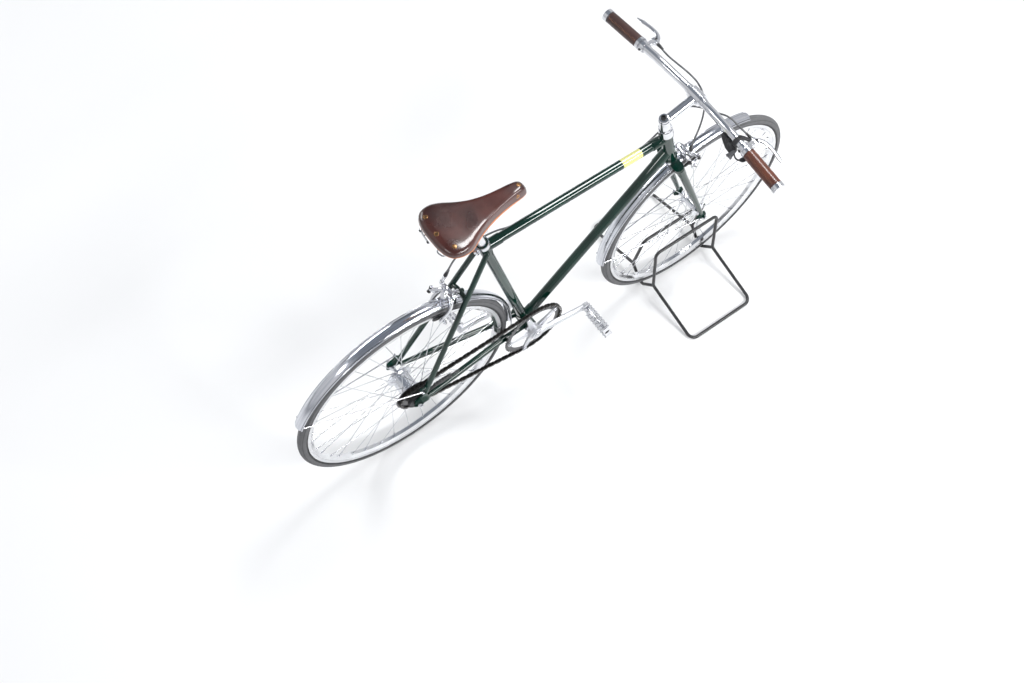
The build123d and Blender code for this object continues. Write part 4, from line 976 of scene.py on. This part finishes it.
def makeChain():
    # inner and outer plates in turn, with a roller and a pin at each joint
    look = chainLook
    places = chainPlaces()
    way = np.roll(places, -1, 0) - places
    pitch = np.linalg.norm(way, axis=1).mean()
    pins = np.insert(places, 1, look["line"], axis=1)
    origin = (pins + np.roll(pins, -1, 0)) / 2
    ahead = np.insert(unit(way), 1, 0.0, axis=1)
    above = ahead[:, ::-1] * (-1, 1, 1)
    parts = []
    for kind, (low, high) in enumerate((look["inner"], look["outer"])):
        for side in (1, -1):
            plate = plateShape(pitch, *sorted((side * low, side * high)))
            parts.append(scattered(plate, origin[kind::2], ahead[kind::2], above[kind::2]))
    wide = look["inner"][0]
    roller, faces = turned((0, -wide, 0), (0, 1, 0), [(0, look["roller"]), (2 * wide, look["roller"])], 10)
    parts.append(scattered((roller * (look["rollerLong"], 1, 1), faces), pins, ahead, above))
    dark = sum(len(faces) for _, faces in parts)
    reach = look["outer"][1] + look["pinOut"]
    pin = turned((0, -reach, 0), (0, 1, 0), [(0, look["pin"] * 0.6), (0.2, look["pin"]), (2 * reach - 0.2, look["pin"]),
                                             (2 * reach, look["pin"] * 0.6)], 8)
    parts.append(scattered(pin, pins, ahead, above))
    finish = Finish("chain_steel")
    oily = finish.noise(90.0, 4.0).ramp(0.35, 0.68)
    # painted shade near the chain's middle line, between the inner plates
    between = abs(finish.axes()[1] - look["line"] / 1000).ramp(0.0030, 0.0018)
    colour = finish.mix(oily * 0.45 + between * 0.5, look["steel"], look["oil"])
    steel = finish.paint(baseColor=colour, metallic=0.9, roughness=0.28 + oily * 0.25,
                         bump=(finish.noise(1500.0, 2.0), 0.00003, 0.4))
    worn = blackFinish("chain_pins", look["pinSteel"], look["steel"], 0.25, 1500.0, metallic=1.0)
    shape = joined(parts)
    which = [0] * dark + [1] * (len(shape[1]) - dark)
    piece = addPiece("chain_links", shape, [steel, worn], "frame", which, 40.0)
    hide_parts("chain")


makeChain()
report("chain made")


# brake levers
leverLook = {
    "along": 58.0,  # of the clamp's middle on the bar's straight
    "clamp": ((0, 11.2), (0, 14.6), (1.2, 15.7), (12.3, 15.7), (13.5, 14.6), (13.5, 11.2)),
    "pivotAhead": 38.0,
    "fall": 0.12,  # of the lever's way forward
    "neck": ((13.5, 7.2, 6.8), (36, 9.5, 5.6)),  # distance ahead, width and thickness at both ends
    "pin": (3.5, 1.0, 5.5),  # ahead of the pivot, outwards, and up and down to its heads
    "pinHeads": ((3.6, 2.6, 1.8), (3.6, 2.2, 1.8)),
    "clampScrew": (3.6, 3.0, 1.8),
    "clampScrewAt": (15, 2),  # behind and below the bar's middle
    "body": ((-11.8, 6.2, 4.4), (-10.8, 8.0, 5.8), (-4, 8.6, 6.2), (4, 8.4, 6.2), (9.2, 8.0, 5.8), (10.4, 6.0, 4.2)),
    "blade": ((-4, -6, 0), (9, -2, 0), (20, 14, 0), (22, 36, -0.4), (19, 58, -0.8), (15.5, 76, -1.2), (13, 89, -1.6)),
    "bladeWide": (6.2, 6.6, 5.8, 5.2, 5.0, 5.6, 1.4),
    "bladeThick": (4.0, 4.0, 3.0, 2.6, 2.6, 3.0, 1.2),
    "adjuster": ((0, 4.0), (1, 4.7), (6, 4.7), (7, 4.0), (9, 4.3), (13, 4.3), (14, 3.5), (22, 3.2), (23, 2.6)),
}


def makeLevers():
    # clamp, neck, pivot body and blade of both levers, with their screws and cable adjusters
    look = leverLook
    up = np.array((0.0, 0.0, 1.0))
    ahead = unit(np.array((1.0, 0.0, -look["fall"])))
    bright, dark = [], []
    for side in (1, -1):
        place, way = onBar(side, look["along"])
        bright.append(turned(place - way * look["clamp"][-1][0] / 2, way, look["clamp"], 40))
        pivot = place + ahead * look["pivotAhead"]
        reach, wide, thick = np.linspace(*look["neck"], 9).T
        bright.append(ovalSwept(place + ahead * reach[:, None], wide, thick, up))
        y, wide, thick = np.array(look["body"]).T
        bright.append(ovalSwept(pivot + left * side * y[:, None], wide, thick, up, 24, 3.2))
        line = spline(pivot + np.array(look["blade"]) * (1, side, 1), 10)
        share, stops = np.linspace(0, 1, len(line)), np.linspace(0, 1, len(look["bladeWide"]))
        wide, thick = (np.interp(share, stops, look[key]) for key in ("bladeWide", "bladeThick"))
        bright.append(ovalSwept(line, wide, thick, up, 20, 2.4))
        forward, out, high = look["pin"]
        for head, way in zip(look["pinHeads"], (up, -up)):
            dark.append(hexBolt(pivot + ahead * forward + left * side * out + way * high, way, *head))
        behind, below = look["clampScrewAt"]
        dark.append(hexBolt(place - ahead * behind - up * below, -ahead, *look["clampScrew"]))
        outlet = np.array(cableLook["front"][0]) * (1, side, 1)
        dark.append(turned(outlet + left * side * 2, -left * side, look["adjuster"], 20))
    piece = addPiece("brake_lever_pair", joined(bright), [polished], "fork", sharp=42.0)
    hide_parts("brake_levers")
    addPiece("brake_lever_screws", joined(dark), [blackSteel], "fork")


makeLevers()
report("levers made")


# brakes: places by distance from the frame along the bolt, towards the cable's side and up from the bolt
brakeLook = {
    "front": {"seat": (366.23, 0, 680.26), "away": steerUp, "along": steerAhead, "hand": -1, "axle": (515, 340),
              "pad": 105.0, "tip": (62, 43, -2)},
    "rear": {"seat": (-331.46, 0, 667.02), "away": (0.489433, 0, 0.872041), "along": (-0.872041, 0, 0.489433),
             "hand": 1, "axle": (-515, 340), "pad": 68.6, "tip": (61, 42, -20)},
    "longArm": ((52, 16, 4), (49, 0, 5), (47, -18, 0), (47, -30, -16), (49, -31, -50), (49, -26, -74)),
    "shortArm": ((36, -17, 9), (35, -2, 5), (35, 16, 4), (37, 29, -8), (42, 32, -30), (48, 31, -52), (49, 26, -74)),
    "barrelArm": ((37, 12, 6), (42, 24, 10), (48, 31, 14)),
    "wide": 5.6,
    "thick": 4.4,
    "spring": ((33, 4, 9), (36, 14, 14), (41, 24, 4), (44, 29, -18), (46, 28, -44)),
    "springWire": 1.2,
    # turned parts: place, profile and sides, along the bolt and then away from the tyre
    "bolt": ((9, 0, 0), ((0, 8.5), (10, 8.5), (10, 5.2), (46, 5.2), (46, 9.5), (50, 10), (52, 8.8)), 24),
    "pivot": ((30, -15, 9), ((0, 7), (14, 7), (16, 5.8)), 20),
    "barrel": ((48, 31, 10), ((0, 4.4), (2, 5.6), (10, 5.6), (11, 4.2), (20, 4), (21, 5), (26, 5), (28, 3.4)), 20),
    "boot": ((48, 31, 37), ((0, 4.6), (3, 5.4), (7, 5.2), (9, 4.4), (12, 4.6), (15, 3.8), (20, 3.6), (24, 2.9)), 18),
    "boltHead": ((54, 0, 0), (4.8, 4.4, 2.6)),
    "anchor": ((0, 3), (1, 5.2), (4, 5.2), (5, 3.8), (15, 3.8), (16, 5.2), (19, 5.2), (20, 3)),
    "anchorScrew": (3.8, 3.2, 2.2),
    "anchorSpan": (10, 9),  # from the arm's tip down to the bolt's foot and up to its screw
    "release": ((-2, -2, -6), (-12, -1, -11), (-24, -3, -10), (-32, -7, -6)),  # from the long arm's tip
    "releaseSize": (2.8, 1.7),
    "coverSize": (5.0, 3.4),
    "padRadius": 309.5,
    "padHalf": 4.9,  # degrees
    "padAcross": 16.2,
    "padSize": (5.2, 3.2),
    "holderAcross": 18.5,
    "holderLong": 17.3,
    "holderScrew": (4.0, 4.0, 2.2),
    "padHolder": ((0.4, 5), (2, 6.8), (4.5, 5.8), (4.5, 3.8), (14, 3.8), (14, 5.8), (16, 6.2), (17.5, 5.4)),
}


def makeBrake(name):
    # curved arms about one bolt, with springs, cable barrel, anchor and pads beside the rim
    look = {**brakeLook, **brakeLook[name]}
    away, along = np.array(look["away"]), np.array(look["along"])
    axes = np.array((along, left * look["hand"], away))

    def spots(points):
        return np.array(look["seat"]) + np.array(points) @ axes

    tip = np.array(look["tip"])
    start = (tip, (tip + look["longArm"][0]) / 2)
    bright, dark = [], []
    for route, size in (((*start, *look["longArm"]), 1.0), (look["shortArm"], 1.0), (look["barrelArm"], 0.8)):
        line = spline(spots(route), 9)
        swell = 0.72 + 0.55 * np.sin(np.pi * np.clip(np.linspace(0, 1.1, len(line)), 0, 1)) ** 0.8
        bright.append(ovalSwept(line, look["wide"] * size * swell, look["thick"] * size * (0.85 + 0.25 * swell), along,
                                18, 3.0))
    for mirror in (1, -1):
        wire = spline(spots(np.array(look["spring"]) * (1, mirror, 1)), 8)
        bright.append(swept(wire, look["springWire"], 8))
    for key, way, parts in (("bolt", along, bright), ("pivot", along, bright), ("barrel", away, bright),
                            ("boot", away, dark)):
        place, profile, sides = look[key]
        parts.append(turned(spots(place), way, profile, sides))
    dark.append(hexBolt(spots(look["boltHead"][0]), along, *look["boltHead"][1]))
    # the cable's anchor: a bolt through the arm's tip, with its washers and the release lever
    down, up = look["anchorSpan"]
    dark.append(turned(spots(tip) - away * down, away, look["anchor"], 20))
    bright.append(hexBolt(spots(tip) + away * up, away, *look["anchorScrew"]))
    lever = spots(tip + look["release"])
    bright.append(ovalSwept(spline(lever, 8), *look["releaseSize"], away, 14))
    cover = [lever[-1], (lever[-1] + lever[-2]) / 2 + away, lever[-2]]
    dark.append(ovalSwept(cover, *look["coverSize"], away, 12, 5.0))
    for side in (1, -1):
        turns = look["pad"] + np.linspace(-look["padHalf"], look["padHalf"], 16)
        rail = aboutWheel(look["axle"], look["padRadius"], turns, side * look["padAcross"])
        ends = np.clip(np.minimum(np.arange(16), np.arange(16)[::-1]) / 1.5, 0.35, 1.0) ** 0.6
        wide, thick = look["padSize"]
        dark.append(ovalSwept(rail, wide * ends, thick * ends, left, 16, 4.0))
        middle = aboutWheel(look["axle"], look["padRadius"], look["pad"], side * look["holderAcross"])
        bright.append(turned(middle, left * side, look["padHolder"], 20))
        bright.append(hexBolt(middle + left * side * look["holderLong"], left * side, *look["holderScrew"]))
    body = "fork" if name == "front" else "frame"
    arms = addPiece(name + "_brake_arms", joined(bright), [polished], body, sharp=42.0)
    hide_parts(name + "_brake_caliper")
    pads = addPiece(name + "_brake_blocks", joined(dark), [blackRubber], body, sharp=42.0)
    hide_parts(name + "_brake_pads")


for name in ("front", "rear"):
    makeBrake(name)
report("brakes made")


# gear shifter
shifterLook = {
    "along": 34.0,
    "clamp": ((0, 11.2), (0, 14.8), (1, 16), (11, 16), (12, 14.8), (12, 11.2)),
    "case": ((389, -126, 926), (384, -136, 919), (379, -154, 914), (376, -170, 912), (377, -183, 914)),
    "bridge": ((388, -172, 930), (380, -172, 920), (374, -170, 912)),
    "outlet": ((394, -160, 938), (402, -168, 938), (413, -178, 933), (421, -186, 928)),
    "caseWide": (8.8, 11.8),  # where the case starts and ends
    "caseThick": (7.5, 10.0),
    "ribs": ((0.18, 4.6), (0.42, 5.4), (0.70, 6.2)),  # raised ribs: share of the case's run, radius
    "lever": ((376, -178, 916), (367, -190, 911), (366, -202, 909), (373, -211, 911), (384, -214, 916)),
    "paddle": ((372, -206, 909), (376, -212, 911), (384, -217, 914)),
    "knob": ((-4, 5.5), (4, 5.8), (12, 7.8), (17, 9.4), (19, 9), (19.5, 6)),
    "bridgeSize": (7.5, 6.5),
    "outletSize": (4.6, 4.2),
    "leverWire": 2.1,
    "paddleSize": (7.2, 2.4),
    "ribFrom": (-4.0, 0.0, 8.5),  # from the case's middle line
    "ribWay": (-0.35, 0, 1),
    "ribSize": (3.4, 2.6),
    "screwFrom": (2.0, 0.0, 15.5),
    "screw": (4.0, 3.5, 2.2),
    "knobAt": (372.5, -181, 914.5),
    "knobWay": (-0.83, -0.02, -0.55),
}


def makeShifter():
    # a squared case that follows the bar, with a thumb lever and a knob
    look = shifterLook
    place, way = onBar(-1, look["along"])
    case, bridge, outlet, lever, paddle = (spline(look[key], steps) for key, steps in
                                           (("case", 8), ("bridge", 6), ("outlet", 8), ("lever", 10), ("paddle", 6)))
    share = np.linspace(0, 1, len(case))
    full = np.clip(np.minimum(share, 1 - share) / 0.10, 0.25, 1.0) ** 0.5
    wide, thick = (np.interp(share, (0, 1), look[key]) * full for key in ("caseWide", "caseThick"))
    dark = [turned(place - way * look["clamp"][-1][0] / 2, way, look["clamp"], 32),
            ovalSwept(case, wide, thick, (0.5, 0, 1), 20, 6.0)]
    for reach, radius in look["ribs"]:
        foot = case[int(reach * (len(case) - 1))] + look["ribFrom"]
        dark.append(hexBolt(foot, look["ribWay"], radius, *look["ribSize"]))
    wide, thick = look["paddleSize"]
    spread = np.sin(np.pi * np.linspace(0.12, 0.88, len(paddle)))
    dark += [ovalSwept(bridge, *look["bridgeSize"], (0, 1, 0), 16),
             ovalSwept(outlet, *look["outletSize"], (0, 0, 1), 16),
             hexBolt(place + look["screwFrom"], (0.1, 0, 1), *look["screw"]), swept(lever, look["leverWire"], 10),
             ovalSwept(paddle, wide * spread, thick, (0, 0, 1), 18)]
    piece = addPiece("shifter_body", joined(dark), [blackPlastic], "fork", sharp=40.0)
    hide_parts("gear_shifter")
    knob = turned(look["knobAt"], look["knobWay"], look["knob"])
    addPiece("shifter_knob", knob, [greyPlastic], "fork")


makeShifter()
report("shifter made")


# gear hub's cable end
bootLook = {
    "route": ((-496, -57, 350), (-482, -61, 370), (-462, -66, 384), (-432, -67, 388), (-402, -65, 381),
              (-380, -58, 356), (-372, -54, 344)),
    "cable": 2.1,
    "from": 0.26,  # shares of the run where the ribbed boot starts and stops
    "to": 0.68,
    "swell": 2.6,
    "rib": 0.9,
    "ribs": 17,
}


def makeGearEnd():
    look = bootLook
    line = spline(look["route"], 16)
    share = np.linspace(0, 1, len(line))
    # the cable's radius, swelling into a boot whose ribs are a sine of the share of the run
    boot = np.clip((share - look["from"]) / 0.03, 0, 1) * np.clip((look["to"] - share) / 0.03, 0, 1)
    radius = look["cable"] + boot * (look["swell"] + look["rib"] * np.sin(share * 2 * np.pi * look["ribs"]))
    addPiece("gear_cable_boot", swept(line, radius, 14), [blackPlastic], "frame")


makeGearEnd()
report("gear cable end made")


# pedals
pedalLook = {
    "tilt": 108.0,  # of the cage from forward towards up
    "out": 129.0,
    "half": 46.0,  # of its length along the axle
    "reach": 33.0,  # of its rails from the axle
    "high": 11.2,  # of the rails' edges from the cage's middle
    "strip": 4.2,
    "sheet": 1.1,
    "plate": 1.2,
    "tooth": 2.4,
    "toothStep": 11.5,
    "posts": 6,
    "postSize": (2.2, 1.0),
    "endHigh": (0.62, 0.36),  # end plate's height over the rails' by the axle, and what the rails add
    "endRise": 4.0,
    "barrel": ((-46, 9), (-43, 9.8), (-34, 9.2), (-24, 6.4), (24, 6), (36, 7.8), (45, 8.4), (46, 7.8)),
    "cap": ((0, 6), (1.6, 6), (2.2, 5.2), (2.3, 2)),
    # painted shade in the gaps between the pedal's teeth
    "gapShadeColour": (0.08, 0.08, 0.085),
}


def toothedSteel():
    # chromed sheet, with painted shade in the gaps between the teeth
    finish = Finish("pedal_steel")
    # painted shade at the gaps between the teeth, along the rail
    gapShade = ripples(finish.axes()[1], pedalLook["toothStep"] / 1000).ramp(0.70, 0.98)
    colour, roughness = smudged(finish, "pedal", 60.0, 3.0, high=0.7)
    return finish.paint(baseColor=finish.mix(gapShade * 0.85, colour, pedalLook["gapShadeColour"]), metallic=0.45,
                        roughness=roughness, bump=(finish.noise(900.0, 2.0), 0.00001, 0.5))


def makePedal(side, toothed):
    # two pairs of toothed rails on posts, with end plates and a barrel about the axle
    look = pedalLook
    name = "pedal_left" if side > 0 else "pedal_right"
    half, reach, high = look["half"], look["reach"], look["high"]
    centre = np.insert(crankEnds[side], 1, side * look["out"])
    tilt = math.radians(look["tilt"])
    axes = np.array(((math.cos(tilt), 0, math.sin(tilt)), left, (-math.sin(tilt), 0, math.cos(tilt))))

    def spots(out, along, up):
        return centre + np.stack(np.broadcast_arrays(out, along, up), -1) @ axes

    along = np.linspace(-half, half, 97)
    # tooth height: a square-topped wave of the place along the rail
    top = high + np.clip(0.5 + 2.2 * np.cos(2 * np.pi * along / look["toothStep"]), 0, 1) * look["tooth"]
    low = high - look["strip"]
    bright = []
    for edge in (1, -1):
        for level in (1, -1):
            rail = [spots(edge * reach + face * look["sheet"], along, level * height)
                    for face, height in ((-1, low), (1, low), (1, top), (-1, top))]
            bright.append(solidGrid(np.stack(rail, 1)))
        for place in np.linspace(-1, 1, look["posts"]) * (half - 4):
            post = spots(edge * reach, place, np.linspace(-1, 1, 3) * high * 0.9)
            bright.append(ovalSwept(post, *look["postSize"], axes[0], 10))
    rails = sum(len(faces) for _, faces in bright)
    out = np.linspace(-reach, reach, 25)
    share = np.abs(out) / reach
    # end plates: their half height grows with the square of the distance from the axle, and about the axle
    least, more = look["endHigh"]
    height = high * (least + more * share ** 2) + look["endRise"] * (1 - share) ** 2
    for place in (-1, 1):
        plate = [spots(out, place * (half - look["plate"] + face * look["plate"]), level * height)
                 for face, level in ((-1, -1), (1, -1), (1, 1), (-1, 1))]
        bright.append(solidGrid(np.stack(plate, 1)))
    bright.append(turned(centre, left * side, look["barrel"], 28))
    shape = joined(bright)
    which = [0] * rails + [1] * (len(shape[1]) - rails)
    piece = addPiece(name + "_cage", shape, [toothed, polished], name, which, 40.0)
    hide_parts(name)
    cap = turned(centre + left * side * (half - 1.5), left * side, look["cap"])
    addPiece(name + "_cap", cap, [blackPlastic], name)


toothed = toothedSteel()
for side in (1, -1):
    makePedal(side, toothed)
report("pedals made")


# fasteners: a screw's sizes are its radius, height and socket
fastenerLook = {
    "stemTop": (298.78, 0, 907.98),
    "stemCap": ((0, 13.6), (3.2, 13.6), (4.6, 12.4), (5, 10.8), (5, 8.8)),
    "stemBolt": (8.2, 4.2, 4.4),
    "stemBoltUp": 2.8,
    "barClamp": ((407.75, 0, 904.6), 8.5, (5.0, 4.8, 2.6), 5.0, 4.0),  # place, half width, screw, nut
    "seatClamp": ((-286.97831, 0, 825.35310), 11.2, (4.8, 4.5, 2.6), 5.2, 4.5),
    "ringBolt": (6.2, 2.6, 2.7),
    "ringCircle": 85.09,
    "ringTurn": 34,  # of the first of the five bolts, in degrees
    "ringOut": 51.4,
    "washerOut": 78.2,
    "capOut": 68.5,
    "crankCap": ((0, 12.5), (1.2, 12.5), (2.4, 11.5), (3, 8.5), (2.2, 6), (2, 1)),
    "crankWasher": ((0, 7.99), (0.32, 8.5), (1.28, 8.5), (1.6, 7.99), (1.6, 2.55)),
    "stayScrew": (-501, 70.5, 386),
    "forkScrew": (496, 61.5, 347),
    "smallScrew": (4.2, 2.6, 2.0),
}


def clampBolt(place, reach, screw, radius, height):
    # a cap screw on the right, and on the left a six-sided nut with a domed stud through it
    place = np.array(place)
    nut = [(0, radius * 0.90), (height * 0.12, radius * 0.93, 6), (height * 0.85, radius * 0.93, 6),
           (height, radius * 0.85), (height, radius * 0.52), (height * 1.3, radius * 0.5), (height * 1.5, radius * 0.3)]
    return [hexBolt(place - left * reach, -left, *screw), turned(place + left * reach, left, nut)]


def makeFasteners():
    # screws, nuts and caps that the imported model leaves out
    look = fastenerLook
    stemTop = np.array(look["stemTop"])

    def pair(key):
        return [hexBolt(np.array(look[key]) * (1, side, 1), left * side, *look["smallScrew"]) for side in (1, -1)]

    stem = [turned(stemTop - steerUp, steerUp, look["stemCap"], 40)] + clampBolt(*look["barClamp"])
    seat = clampBolt(*look["seatClamp"])
    turns = look["ringTurn"] + np.arange(5) * 72
    ring = [hexBolt(place, -left, *look["ringBolt"])
            for place in aboutWheel(crankAxle, look["ringCircle"], turns, -look["ringOut"])]
    washers, caps = [], []
    for side in (1, -1):
        end, middle = (np.insert(place, 1, side * out) for place, out in
                       ((crankEnds[side], look["washerOut"]), (np.array(crankAxle, float), look["capOut"])))
        washers.append(turned(end, left * side, look["crankWasher"]))
        caps.append(turned(middle, left * side, look["crankCap"], 36))
    addPiece("stem_fasteners", joined(stem), [chrome], "fork")
    stemBolt = hexBolt(stemTop + steerUp * look["stemBoltUp"], steerUp, *look["stemBolt"])
    addPiece("stem_bolt", stemBolt, [blackSteel], "fork")
    for name, body, shapes in (("crank_fasteners", "cranks", ring + washers), ("crank_caps", "cranks", caps),
                               ("frame_fasteners", "frame", seat + pair("stayScrew")),
                               ("fork_end_screws", "fork", pair("forkScrew"))):
        addPiece(name, joined(shapes), [chrome], body)


makeFasteners()
report("fasteners made")
